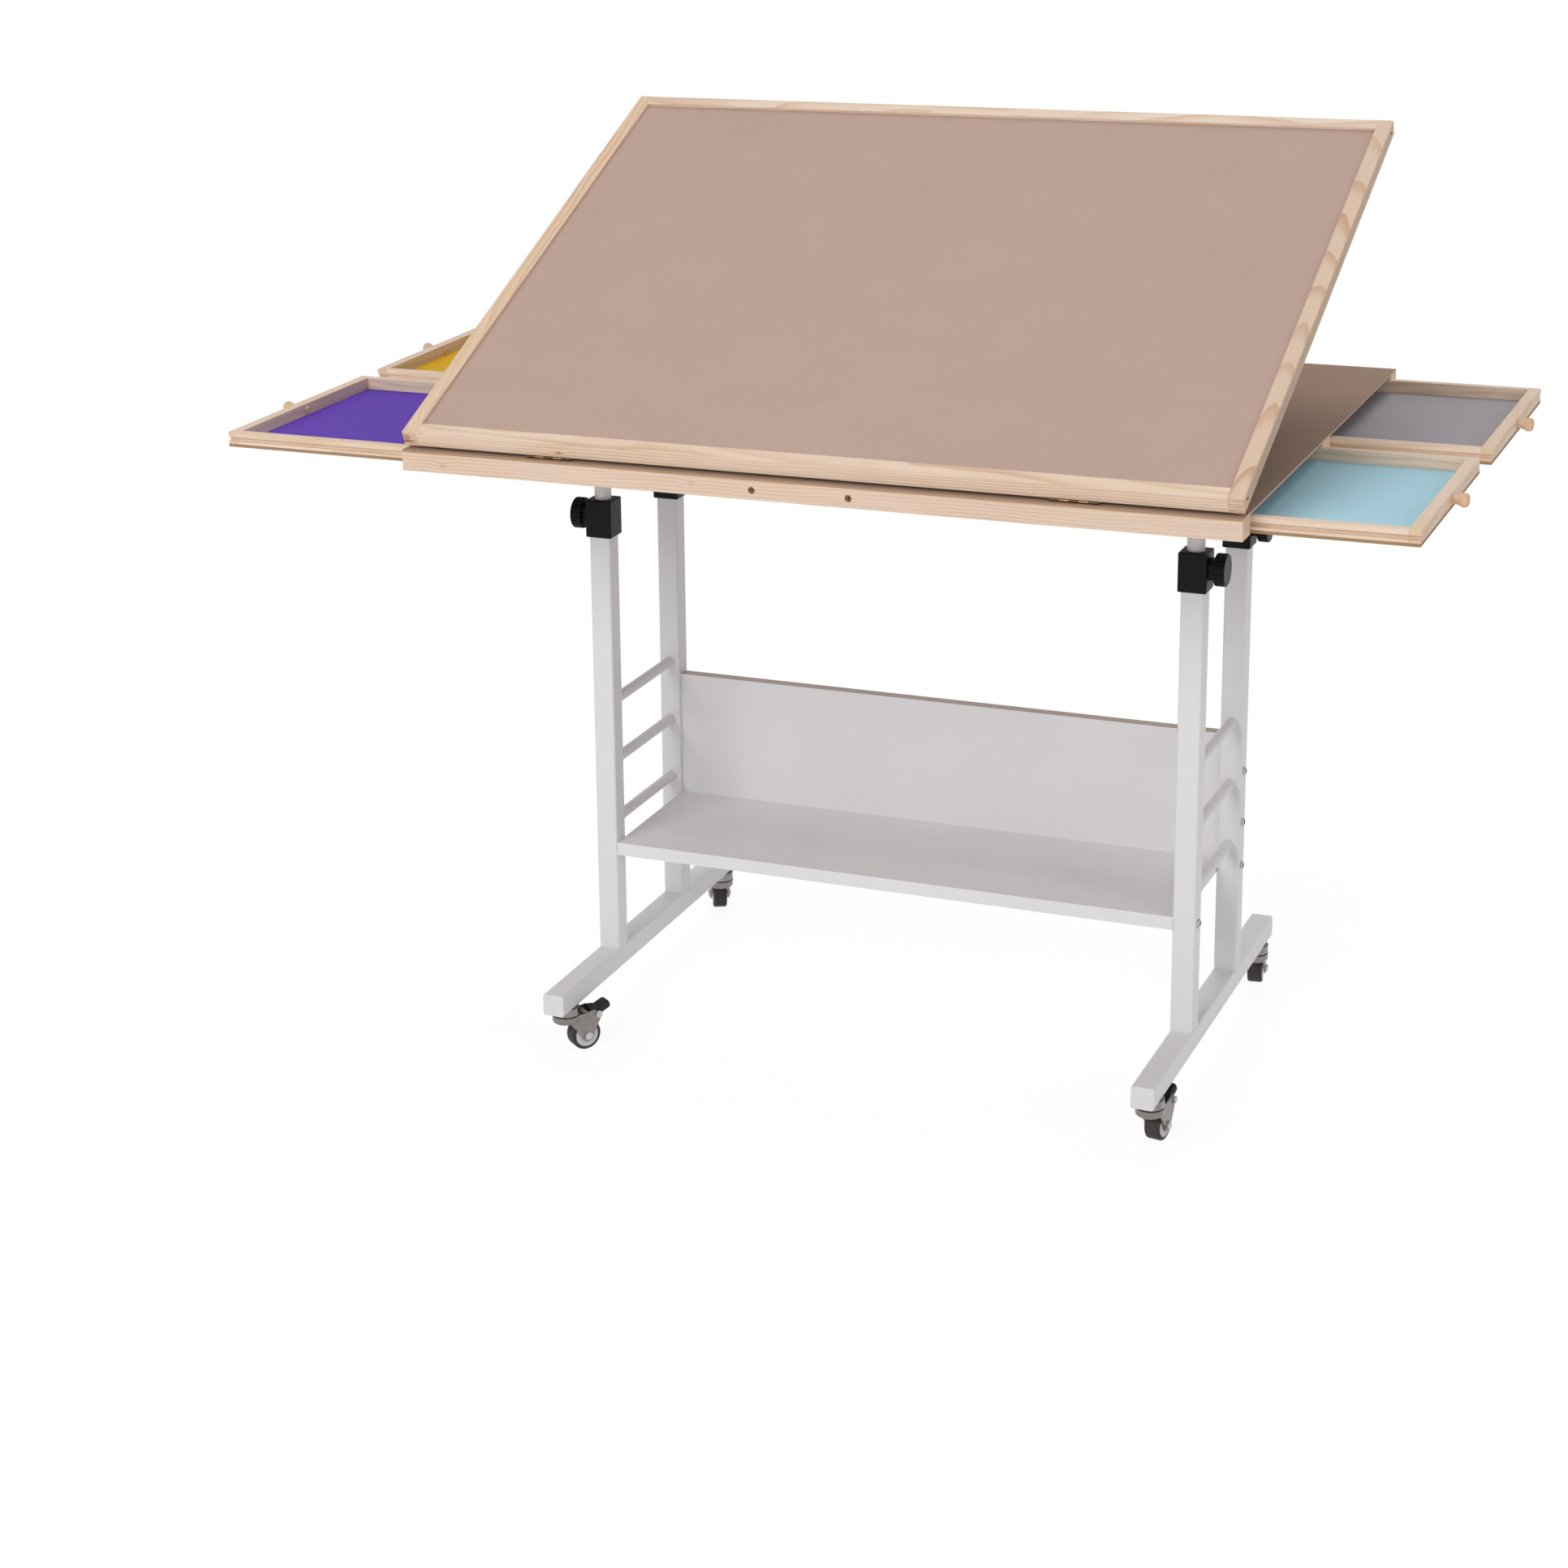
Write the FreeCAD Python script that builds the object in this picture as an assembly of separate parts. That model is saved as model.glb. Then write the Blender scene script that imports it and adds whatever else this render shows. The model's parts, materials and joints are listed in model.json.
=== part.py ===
import FreeCAD, Part
import math
import os

from FreeCAD import Vector

# Jigsaw puzzle table: a wheeled steel stand, a lift frame in its posts, a drawer case that
# turns on a ball bearing, four drawers, and a board that tilts on two butt hinges and a prop.
# Millimetres. X runs along the table, Y from front to back, Z up from the floor.

# ---- driving sizes ------------------------------------------------------------------------

# stand
TUBE = 25.0                # square tube, outside
TUBE_WALL = 1.5
TUBE_CORNER = 2.5
SIDE_SPACING = 678.0       # between the centres of the two side frames
POST_SPACING = 190.0       # between the centres of a side frame's two posts
POST_LENGTH = 504.0
FOOT_LENGTH = 525.0
RUNG_DIA = 12.0
RUNG_COUNT = 3
RUNG_PITCH = 71.5
RUNG_FIRST_Z = 230.5
SHELF_TOP_Z = 210.5
SHELF_THICKNESS = 15.0
SHELF_LIP = 11.0           # how far the shelf runs in front of the post centres
BACK_PANEL_RISE = 147.5    # back panel's top above the shelf
BACK_PANEL_THICKNESS = 15.0
SHELF_SCREW_COUNT = 4      # screws through the back panel into the shelf
SHELF_SCREW_END = 60.0     # outermost screws from the panel's ends
SHELF_SCREW_HEAD_DIA = 8.0
BACK_BOLT_RISE = (44.0, 104.0)   # bolts of the back panel, above the shelf
BOLT_DIA = 6.0
BOLT_HEAD_DIA = 9.6
BOLT_HEAD_HEIGHT = 2.4
BOLT_GRIP = 20.0           # how deep a bolt reaches into a board
END_CAP_THICKNESS = 6.0

# clamps on the posts
CLAMP_SIZE = 31.0
CLAMP_HEIGHT = 43.0
CLAMP_ON_POST = 10.0       # how far a clamp block comes down over its post
CLAMP_SCREW_RISE = 24.0    # screw's axis above the block's underside
CLAMP_EDGE = 1.6
BOSS_WIDTH = 22.0
BOSS_CORNER = 6.0
BOSS_LENGTH = 6.0
KNOB_DIA = 35.0
KNOB_THICKNESS = 12.2
KNOB_RIBS = 22
KNOB_GROOVE = 1.5
CLAMP_SCREW_DIA = 8.0

# lift frame
LIFT_TUBE_DIA = 19.0
LIFT_TUBE_WALL = 1.5
LIFT_RISE = 52.0           # free height between clamp block and side tube, as it stands
LIFT_IN_POST = 200.0       # length of lift tube below the clamp block
LIFT_SIDE_LENGTH = 430.0
STUB_LENGTH = 28.0
TUBE_END_WALL = 4.0

# ball bearing under the case
BEARING_PLATE = 150.0
BEARING_SHEET = 1.5
BEARING_HEIGHT = 8.0
BEARING_HOLE_DIA = 80.0
BALL_DIA = 4.4
BALL_CIRCLE_DIA = 120.0
BALL_COUNT = 24
RACE_WALL = 1.6
BAR_WIDTH = 25.0
BAR_THICKNESS = 4.0
BAR_SPACING = 120.0

# drawer case
CASE_WIDTH = 900.0
CASE_DEPTH = 720.0
CASE_RAIL_HEIGHT = 20.0
CASE_RAIL_THICKNESS = 30.0
CASE_PANEL_THICKNESS = 2.5
DIVIDER_WIDTH = 36.0
CROSS_RAIL_WIDTH = 18.0
CROSS_RAIL_SPACING = 104.0
SCREW_HOLE_DIA = 7.4
SCREW_HOLE_DEPTH = 4.0
SCREW_DIA = 4.0
SCREW_LENGTH = 46.0
SCREW_HEAD_HEIGHT = 2.4

# drawers
DRAWER_LENGTH = 383.0
DRAWER_HEIGHT = 16.5
DRAWER_FLOOR_GAP = 1.0     # drawer's underside above the rail's underside
DRAWER_SIDE_GAP = 2.0
DRAWER_SIDE_THICKNESS = 10.0
DRAWER_FRONT_THICKNESS = 12.0
DRAWER_BOTTOM_THICKNESS = 3.4
GROOVE_HEIGHT = 4.6
GROOVE_DEPTH = 3.6
GROOVE_Z = 6.3             # groove's lower edge above the drawer's underside
RUNNER_CLEARANCE = 0.2
RUNNER_SETBACK = 2.0       # runner's end behind the case's end
PULL_DIA = 14.5
PULL_NECK_DIA = 10.0
PULL_LENGTH = 17.0
PULL_SCREW_HEAD_DIA = 7.0
OPEN_FRONT_RIGHT = 161.0
OPEN_REAR_RIGHT = 166.0
OPEN_FRONT_LEFT = 232.0
OPEN_REAR_LEFT = 233.0

# board
BOARD_SETBACK = 8.0        # board's front behind the case's front
BOARD_DEPTH = 700.0
BOARD_RAIL_HEIGHT = 17.0
BOARD_END_RAIL_WIDTH = 17.0
BOARD_SIDE_RAIL_WIDTH = 16.0
BOARD_PANEL_THICKNESS = 4.0
BOARD_PANEL_RECESS = 3.5
PANEL_IN_GROOVE = 6.0
FINGERS = 5
BOARD_GAP = 3.6            # between the case's top and the flat board
BOARD_TILT = 23.0          # as it stands
BOARD_TILT_MAX = 35.0

# hinges of the board
HINGE_WIDTH = 50.0
HINGE_SPACING = 564.0
HINGE_LEAF_LENGTH = 15.0
HINGE_LEAF_THICKNESS = 1.0
HINGE_KNUCKLES = 5
KNUCKLE_GAP = 0.3
HINGE_PIN_DIA = 1.8

# prop
PROP_ROD_DIA = 7.0
PROP_WIDTH = 300.0         # between the centres of the prop's arms
PROP_PIVOT_ALONG = 280.0   # pivot from the hinge line, along the board
PROP_PIVOT_ABOVE = 6.2     # pivot from the hinge line, square to the board
PROP_BEND_RADIUS = 12.0
PROP_PIN_LENGTH = 24.0
BRACKET_WIDTH = 10.0
BRACKET_LENGTH = 18.0
BRACKET_WALL = 2.4
RACK_WIDTH = 14.0
RACK_SPACING = 240.0
RACK_NOTCH_PITCH = 20.0
RACK_END = 10.0            # rack beyond the prop foot's reach
RACK_NOTCH_DEPTH = 3.0

# casters
CASTER_HEIGHT = 55.0
CASTER_INSET = 32.0        # swivel axis from the foot beam's end
CASTER_TRAIL = 22.0
WHEEL_DIA = 36.0
WHEEL_WIDTH = 17.0
TYRE_THICKNESS = 4.2
TYRE_EDGE = 2.5
CROWN_DIA = 31.0
CROWN_HEIGHT = 9.5
CROWN_EDGE = 4.0
RACE_HEIGHT = 9.5
RACE_EDGE = 1.5
CHEEK_THICKNESS = 2.0
CHEEK_GAP = 1.5            # between wheel and cheek
KINGPIN_DIA = 8.0
STEM_LENGTH = 17.0
RIVET_HEAD_DIA = 12.0
RIVET_HEAD_HEIGHT = 1.8
AXLE_DIA = 5.0
AXLE_HEAD_DIA = 9.0
AXLE_HEAD_HEIGHT = 2.0
AXLE_BOSS_DIA = 14.0
PEDAL_PIN_OUT = 14.0       # pedal pin beyond the axle
PEDAL_PIN_UP = 24.0        # pedal pin above the axle
PEDAL_PIN_DIA = 5.0
PEDAL_PIN_HEAD_DIA = 8.0
PEDAL_HUB_DIA = 11.5
PEDAL_WIDTH = 17.0
PEDAL_REACH = 19.0
PEDAL_THICKNESS = 9.0
PEDAL_RISE = 25.0          # degrees above level when the brake is off
TRAIL_FRONT_LEFT = 38.0    # direction of each fork, degrees from the back towards the right
TRAIL_FRONT_RIGHT = 9.0
TRAIL_REAR_RIGHT = -8.0
TRAIL_REAR_LEFT = -27.0

# fits
RUNNING_FIT = 0.08         # radial, tube in clamp block
PIN_FIT = 0.05             # radial, pins, axles and screws
FREE_GAP = 0.3             # between faces that pass each other

# ---- places that follow from the sizes ----------------------------------------------------

POST_X = SIDE_SPACING / 2
POST_Y = POST_SPACING / 2
HALF = TUBE / 2
FOOT_TOP = CASTER_HEIGHT + TUBE
POST_TOP = FOOT_TOP + POST_LENGTH
CLAMP_BOTTOM = POST_TOP - CLAMP_ON_POST
CLAMP_TOP = CLAMP_BOTTOM + CLAMP_HEIGHT
CLAMP_SCREW_Z = CLAMP_BOTTOM + CLAMP_SCREW_RISE
LIFT_BOTTOM = CLAMP_BOTTOM - LIFT_IN_POST
LIFT_UNDERSIDE = CLAMP_TOP + LIFT_RISE
LIFT_TOP = LIFT_UNDERSIDE + TUBE
CROSS_TUBE_Y = LIFT_SIDE_LENGTH / 2 - HALF
CASE_BOTTOM = LIFT_TOP + BEARING_HEIGHT
CASE_RAIL_TOP = CASE_BOTTOM + CASE_RAIL_HEIGHT
CASE_TOP = CASE_RAIL_TOP + CASE_PANEL_THICKNESS
CASE_X = CASE_WIDTH / 2
CASE_Y = CASE_DEPTH / 2
BAY_OUTER_Y = CASE_Y - CASE_RAIL_THICKNESS
BAY_INNER_Y = DIVIDER_WIDTH / 2
DIVIDER_INNER_X = (CROSS_RAIL_SPACING + CROSS_RAIL_WIDTH) / 2
DRAWER_Z = CASE_BOTTOM + DRAWER_FLOOR_GAP
DRAWER_FRAME_Z = DRAWER_Z + DRAWER_BOTTOM_THICKNESS
DRAWER_TOP = DRAWER_Z + DRAWER_HEIGHT
HINGE_Y = -CASE_Y + BOARD_SETBACK
HINGE_Z = CASE_TOP + BOARD_GAP / 2
BOARD_X = CASE_X
BOARD_Z = CASE_TOP + BOARD_GAP
BOARD_TOP = BOARD_Z + BOARD_RAIL_HEIGHT
BOARD_BACK = HINGE_Y + BOARD_DEPTH
PANEL_TOP = BOARD_TOP - BOARD_PANEL_RECESS
PANEL_UNDERSIDE = PANEL_TOP - BOARD_PANEL_THICKNESS
PROP_PIVOT_Y = HINGE_Y + PROP_PIVOT_ALONG
PROP_PIVOT_Z = HINGE_Z + PROP_PIVOT_ABOVE
TILT_MAX = math.radians(BOARD_TILT_MAX)
# The prop turns back twice as fast as the board rises. This length keeps its foot level.
PROP_LENGTH = PROP_PIVOT_ALONG - PROP_PIVOT_ABOVE * (1 - math.cos(TILT_MAX)) / math.sin(TILT_MAX)
RACK_TOP = PROP_PIVOT_Z - PROP_ROD_DIA / 2 - FREE_GAP
CASTER_Y = FOOT_LENGTH / 2 - CASTER_INSET
WHEEL_RADIUS = WHEEL_DIA / 2
CHEEK_X = WHEEL_WIDTH / 2 + CHEEK_GAP

# The origin lies on the floor under the middle of the table as it stands, drawers open.
LEFT_REACH = CASE_X + max(OPEN_FRONT_LEFT, OPEN_REAR_LEFT) + PULL_LENGTH
RIGHT_REACH = CASE_X + max(OPEN_FRONT_RIGHT, OPEN_REAR_RIGHT) + PULL_LENGTH
ORIGIN_X = (RIGHT_REACH - LEFT_REACH) / 2

X_AXIS = Vector(1, 0, 0)
Y_AXIS = Vector(0, 1, 0)
Z_AXIS = Vector(0, 0, 1)


# ---- shapes used more than once -----------------------------------------------------------

def block(x0, x1, y0, y1, z0, z1):
    """A box between two corners, given in any order."""
    low = Vector(min(x0, x1), min(y0, y1), min(z0, z1))
    return Part.makeBox(abs(x1 - x0), abs(y1 - y0), abs(z1 - z0), low)


def rod(diameter, start, end):
    """A round bar between two points."""
    way = end - start
    return Part.makeCylinder(diameter / 2, way.Length, start, way)


def long_edges(shape, direction):
    """The straight edges that run along a direction."""
    found = []
    for edge in shape.Edges:
        ends = edge.Vertexes
        if len(ends) == 2 and edge.Curve.TypeId == "Part::GeomLine":
            way = (ends[1].Point - ends[0].Point).normalize()
            if abs(way.dot(direction)) > 0.999:
                found.append(edge)
    return found


def rounded_bar(x0, x1, y0, y1, z0, z1, direction, radius):
    """A box with the four edges along a direction rounded."""
    bar = block(x0, x1, y0, y1, z0, z1)
    return bar.makeFillet(radius, long_edges(bar, direction))


def square_tube(x0, x1, y0, y1, z0, z1, direction, end_wall=0.0):
    """A square tube along a direction, open at its ends or closed by a wall."""
    outside = rounded_bar(x0, x1, y0, y1, z0, z1, direction, TUBE_CORNER)
    inset = Vector(TUBE_WALL, TUBE_WALL, TUBE_WALL)
    along = direction * (TUBE_WALL - end_wall)
    low = Vector(x0, y0, z0) + inset - along
    high = Vector(x1, y1, z1) - inset + along
    inner_corner = TUBE_CORNER - TUBE_WALL
    hollow = rounded_bar(low.x, high.x, low.y, high.y, low.z, high.z, direction, inner_corner)
    return outside.cut(hollow)


def bolt(head_at, into, reach, diameter=BOLT_DIA, head_diameter=BOLT_HEAD_DIA,
         head_height=BOLT_HEAD_HEIGHT):
    """A bolt: its shank runs from head_at along into, its round head lies on the near side."""
    head = Part.makeCylinder(head_diameter / 2, head_height, head_at - into * head_height, into)
    rim = [edge for edge in head.Edges if edge.Curve.TypeId == "Part::GeomCircle"]
    far = min(rim, key=lambda edge: edge.BoundBox.Center.dot(into))
    head = head.makeFillet(head_height * 0.45, [far])
    shank = Part.makeCylinder(diameter / 2, reach, head_at, into)
    return head.fuse(shank).removeSplitter()


def four_corners(x, y):
    """Left front, right front, left rear and right rear."""
    return [(-x, -y), (x, -y), (-x, y), (x, y)]


def tilted(shape):
    """A piece of the board, turned up with it."""
    return shape.rotated(Vector(0, HINGE_Y, HINGE_Z), X_AXIS, BOARD_TILT)


# ---- stand --------------------------------------------------------------------------------

def back_bolt_heights():
    return [SHELF_TOP_Z + rise for rise in BACK_BOLT_RISE]


def board_bolts():
    """Bolts through the posts into the ends of the shelf and of the back panel."""
    bolts = []
    for side in (-1, 1):
        places = [(-POST_Y, SHELF_TOP_Z - SHELF_THICKNESS / 2)]
        places.append((POST_Y, SHELF_TOP_Z - SHELF_THICKNESS / 2))
        places += [(POST_Y, height) for height in back_bolt_heights()]
        for y, z in places:
            head_at = Vector(side * (POST_X + HALF), y, z)
            bolts.append(bolt(head_at, Vector(-side, 0, 0), TUBE + BOLT_GRIP))
    return bolts


def shelf_screws():
    """Sunk screws through the back panel into the shelf's rear edge."""
    screws = []
    first = POST_X - HALF - SHELF_SCREW_END
    head_y = POST_Y + BACK_PANEL_THICKNESS / 2 - SCREW_HEAD_HEIGHT
    for index in range(SHELF_SCREW_COUNT):
        x = -first + index * 2 * first / (SHELF_SCREW_COUNT - 1)
        head_at = Vector(x, head_y, SHELF_TOP_Z - SHELF_THICKNESS / 2)
        screws.append(bolt(head_at, -Y_AXIS, BACK_PANEL_THICKNESS + BOLT_GRIP, SCREW_DIA,
                           SHELF_SCREW_HEAD_DIA, SCREW_HEAD_HEIGHT))
    return screws


def side_frame(side, bolts):
    """Foot beam, two posts and the rungs between them, welded together."""
    x = side * POST_X
    foot = square_tube(x - HALF, x + HALF, -FOOT_LENGTH / 2, FOOT_LENGTH / 2,
                       CASTER_HEIGHT, FOOT_TOP, Y_AXIS)
    for y in (-CASTER_Y, CASTER_Y):
        stem_hole = Part.makeCylinder(KINGPIN_DIA / 2, TUBE / 2, Vector(x, y, CASTER_HEIGHT - 1))
        foot = foot.cut(stem_hole)
    pieces = [foot]
    for y in (-POST_Y, POST_Y):
        post = square_tube(x - HALF, x + HALF, y - HALF, y + HALF, FOOT_TOP, POST_TOP, Z_AXIS)
        for fastener in bolts:
            post = post.cut(fastener)
        pieces.append(post)
    for index in range(RUNG_COUNT):
        z = RUNG_FIRST_Z + index * RUNG_PITCH
        pieces.append(rod(RUNG_DIA, Vector(x, HALF - POST_Y, z), Vector(x, POST_Y - HALF, z)))
    return pieces


def foot_end_caps():
    """Plugs flush in the ends of the foot beams."""
    caps = []
    size = HALF - TUBE_WALL
    z = CASTER_HEIGHT + HALF
    for x, y in four_corners(POST_X, FOOT_LENGTH / 2):
        inner = y - math.copysign(END_CAP_THICKNESS, y)
        caps.append(rounded_bar(x - size, x + size, min(y, inner), max(y, inner), z - size, z + size,
                                Y_AXIS, TUBE_CORNER - TUBE_WALL))
    return caps


def shelf(fasteners):
    """Board between the side frames, butted against the back panel."""
    inner = POST_X - HALF
    board = block(-inner, inner, -POST_Y - SHELF_LIP, POST_Y - BACK_PANEL_THICKNESS / 2,
                  SHELF_TOP_Z - SHELF_THICKNESS, SHELF_TOP_Z)
    for fastener in fasteners:
        board = board.cut(fastener)
    return [board]


def back_panel(fasteners):
    inner = POST_X - HALF
    half = BACK_PANEL_THICKNESS / 2
    board = block(-inner, inner, POST_Y - half, POST_Y + half,
                  SHELF_TOP_Z - SHELF_THICKNESS, SHELF_TOP_Z + BACK_PANEL_RISE)
    for fastener in fasteners:
        board = board.cut(fastener)
    return [board]


def clamp_block(x, y):
    """A block that caps a post, holds the lift tube in its bore and the screw in its boss."""
    side = math.copysign(1, x)
    half = CLAMP_SIZE / 2
    body = block(x - half, x + half, y - half, y + half, CLAMP_BOTTOM, CLAMP_TOP)
    body = body.makeFillet(CLAMP_EDGE, body.Edges)
    out = Vector(side, 0, 0)
    centre = Vector(x, y, CLAMP_SCREW_Z)
    wide = BOSS_WIDTH / 2
    boss = rounded_bar(x, x + side * (half + BOSS_LENGTH), y - wide, y + wide,
                       CLAMP_SCREW_Z - wide, CLAMP_SCREW_Z + wide, X_AXIS, BOSS_CORNER)
    body = body.fuse(boss).removeSplitter()
    socket = rounded_bar(x - HALF, x + HALF, y - HALF, y + HALF, CLAMP_BOTTOM - 1, POST_TOP,
                         Z_AXIS, TUBE_CORNER)
    tube_bore = Part.makeCylinder(LIFT_TUBE_DIA / 2 + RUNNING_FIT, CLAMP_HEIGHT + 1,
                                  Vector(x, y, CLAMP_BOTTOM))
    screw_bore = Part.makeCylinder(CLAMP_SCREW_DIA / 2 + PIN_FIT, CLAMP_SIZE + BOSS_LENGTH,
                                   centre, out)
    return body.cut(socket).cut(tube_bore).cut(screw_bore)


def clamp_knob(x, y):
    """A ribbed knob and the steel screw that it turns against the lift tube."""
    side = math.copysign(1, x)
    out = Vector(side, 0, 0)
    centre = Vector(x, y, CLAMP_SCREW_Z)
    inner_face = centre + out * (CLAMP_SIZE / 2 + BOSS_LENGTH + FREE_GAP)
    knob = Part.makeCylinder(KNOB_DIA / 2, KNOB_THICKNESS, inner_face, out)
    rims = [edge for edge in knob.Edges if edge.Curve.TypeId == "Part::GeomCircle"]
    knob = knob.makeFillet(KNOB_GROOVE, rims)
    for index in range(KNOB_RIBS):
        turn = 2 * math.pi * index / KNOB_RIBS
        radial = Vector(0, math.cos(turn), math.sin(turn)) * (KNOB_DIA / 2 + KNOB_GROOVE * 0.2)
        start = inner_face + radial - out
        knob = knob.cut(Part.makeCylinder(KNOB_GROOVE, KNOB_THICKNESS - KNOB_GROOVE + 1, start, out))
    tip = centre + out * (LIFT_TUBE_DIA / 2 + FREE_GAP)
    screw = rod(CLAMP_SCREW_DIA, tip, inner_face + out * (KNOB_THICKNESS * 0.6))
    return [knob.cut(screw), screw]


# ---- lift frame ---------------------------------------------------------------------------

def lift_bolts():
    """Long bolts through the side tubes into the ends of the cross tubes."""
    bolts = []
    z = LIFT_UNDERSIDE + HALF
    for x, y in four_corners(POST_X + HALF, CROSS_TUBE_Y):
        into = Vector(-math.copysign(1, x), 0, 0)
        bolts.append(bolt(Vector(x, y, z), into, TUBE + STUB_LENGTH + TUBE_END_WALL))
    return bolts


def lift_side(side, bolts):
    """Side tube with a stub at each end, and the two tubes that run down into the posts."""
    x = side * POST_X
    half_length = LIFT_SIDE_LENGTH / 2
    top_tube = square_tube(x - HALF, x + HALF, -half_length, half_length, LIFT_UNDERSIDE, LIFT_TOP,
                           Y_AXIS, TUBE_WALL)
    inner_face = side * (POST_X - HALF)
    stub_end = side * (POST_X - HALF - STUB_LENGTH)
    for fastener in bolts:
        top_tube = top_tube.cut(fastener)
    pieces = [top_tube]
    for y in (-CROSS_TUBE_Y, CROSS_TUBE_Y):
        pieces.append(square_tube(min(inner_face, stub_end), max(inner_face, stub_end),
                                  y - HALF, y + HALF, LIFT_UNDERSIDE, LIFT_TOP, X_AXIS))
    for y in (-POST_Y, POST_Y):
        foot = Vector(x, y, LIFT_BOTTOM)
        height = LIFT_UNDERSIDE - LIFT_BOTTOM
        tube = Part.makeCylinder(LIFT_TUBE_DIA / 2, height, foot)
        bore = Part.makeCylinder(LIFT_TUBE_DIA / 2 - LIFT_TUBE_WALL, height, foot)
        pieces.append(tube.cut(bore))
    return pieces


def cross_tube(y, bolts):
    half_length = POST_X - HALF - STUB_LENGTH
    tube = square_tube(-half_length, half_length, y - HALF, y + HALF, LIFT_UNDERSIDE, LIFT_TOP,
                       X_AXIS, TUBE_END_WALL)
    for fastener in bolts:
        tube = tube.cut(fastener)
    return [tube]


def bearing_bars():
    """Flat bars between the cross tubes, level with their tops, that carry the bearing."""
    reach = CROSS_TUBE_Y - HALF
    bars = []
    for x in (-BAR_SPACING / 2, BAR_SPACING / 2):
        bars.append(block(x - BAR_WIDTH / 2, x + BAR_WIDTH / 2, -reach, reach,
                          LIFT_TOP - BAR_THICKNESS, LIFT_TOP))
    return bars


def bearing_plate(z, race_radius, race_to):
    """A square sheet with a round hole and a ring that keeps the balls on their circle."""
    half = BEARING_PLATE / 2
    sheet = rounded_bar(-half, half, -half, half, z, z + BEARING_SHEET, Z_AXIS, BEARING_PLATE / 20)
    hole = Part.makeCylinder(BEARING_HOLE_DIA / 2, BEARING_SHEET, Vector(0, 0, z))
    sheet = sheet.cut(hole)
    low = min(z + BEARING_SHEET, race_to)
    height = max(z, race_to) - low
    ring = Part.makeCylinder(race_radius + RACE_WALL / 2, height, Vector(0, 0, low))
    inside = Part.makeCylinder(race_radius - RACE_WALL / 2, height, Vector(0, 0, low))
    return [sheet.fuse(ring.cut(inside)).removeSplitter()]


def race_step():
    """From the ball circle to the middle of either race's ring."""
    return BALL_DIA / 2 + FREE_GAP + RACE_WALL / 2


def bearing_lower_plate():
    top = LIFT_TOP + BEARING_HEIGHT - BEARING_SHEET - FREE_GAP
    return bearing_plate(LIFT_TOP, BALL_CIRCLE_DIA / 2 - race_step(), top)


def bearing_upper_plate():
    bottom = LIFT_TOP + BEARING_SHEET + FREE_GAP
    return bearing_plate(CASE_BOTTOM - BEARING_SHEET, BALL_CIRCLE_DIA / 2 + race_step(), bottom)


def bearing_balls():
    balls = []
    radius = BALL_CIRCLE_DIA / 2
    for index in range(BALL_COUNT):
        turn = 2 * math.pi * index / BALL_COUNT
        centre = Vector(radius * math.cos(turn), radius * math.sin(turn),
                        LIFT_TOP + BEARING_HEIGHT / 2)
        balls.append(Part.makeSphere(BALL_DIA / 2, centre))
    return balls


# ---- drawer case --------------------------------------------------------------------------

def case_screws():
    """Screws through the front and rear rails into the ends of the cross rails."""
    screws = []
    z = CASE_BOTTOM + CASE_RAIL_HEIGHT / 2
    sunk = SCREW_HOLE_DEPTH
    for x, y in four_corners(CROSS_RAIL_SPACING / 2, CASE_Y):
        into = Vector(0, -math.copysign(1, y), 0)
        head_at = Vector(x, y, z) + into * sunk
        screws.append(bolt(head_at, into, SCREW_LENGTH, SCREW_DIA, SCREW_HOLE_DIA, SCREW_HEAD_HEIGHT))
    return screws


def case_end_rail(side, screws):
    """Front or rear rail of the case, with its two sunk screw holes."""
    rail = block(-CASE_X, CASE_X, side * BAY_OUTER_Y, side * CASE_Y, CASE_BOTTOM, CASE_RAIL_TOP)
    z = CASE_BOTTOM + CASE_RAIL_HEIGHT / 2
    for x in (-CROSS_RAIL_SPACING / 2, CROSS_RAIL_SPACING / 2):
        start = Vector(x, side * CASE_Y, z)
        into = Vector(0, -side, 0)
        rail = rail.cut(Part.makeCylinder(SCREW_HOLE_DIA / 2, SCREW_HOLE_DEPTH, start, into))
    for screw in screws:
        rail = rail.cut(screw)
    return [rail]


def case_dividers():
    """Bars along the middle of the case, between the front and the rear drawers."""
    bars = []
    for side in (-1, 1):
        bars.append(block(side * DIVIDER_INNER_X, side * CASE_X, -BAY_INNER_Y, BAY_INNER_Y,
                          CASE_BOTTOM, CASE_RAIL_TOP))
    return bars


def case_cross_rails(screws):
    rails = []
    for x in (-CROSS_RAIL_SPACING / 2, CROSS_RAIL_SPACING / 2):
        half = CROSS_RAIL_WIDTH / 2
        rail = block(x - half, x + half, -BAY_OUTER_Y, BAY_OUTER_Y, CASE_BOTTOM, CASE_RAIL_TOP)
        for screw in screws:
            rail = rail.cut(screw)
        rails.append(rail)
    return rails


def case_top_panel():
    return [block(-CASE_X, CASE_X, -CASE_Y, CASE_Y, CASE_RAIL_TOP, CASE_TOP)]


def drawer_runners():
    """Strips on both walls of each bay, on which a drawer's grooves slide."""
    runners = []
    low = DRAWER_Z + GROOVE_Z + RUNNER_CLEARANCE
    high = DRAWER_Z + GROOVE_Z + GROOVE_HEIGHT - RUNNER_CLEARANCE
    reach = DRAWER_SIDE_GAP + GROOVE_DEPTH - 2 * RUNNER_CLEARANCE
    for side in (-1, 1):
        near = side * DIVIDER_INNER_X
        far = side * (CASE_X - RUNNER_SETBACK)
        for row in (-1, 1):
            for wall, inward in ((BAY_OUTER_Y, -1), (BAY_INNER_Y, 1)):
                runners.append(block(near, far, row * wall, row * (wall + inward * reach), low, high))
    return runners


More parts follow.
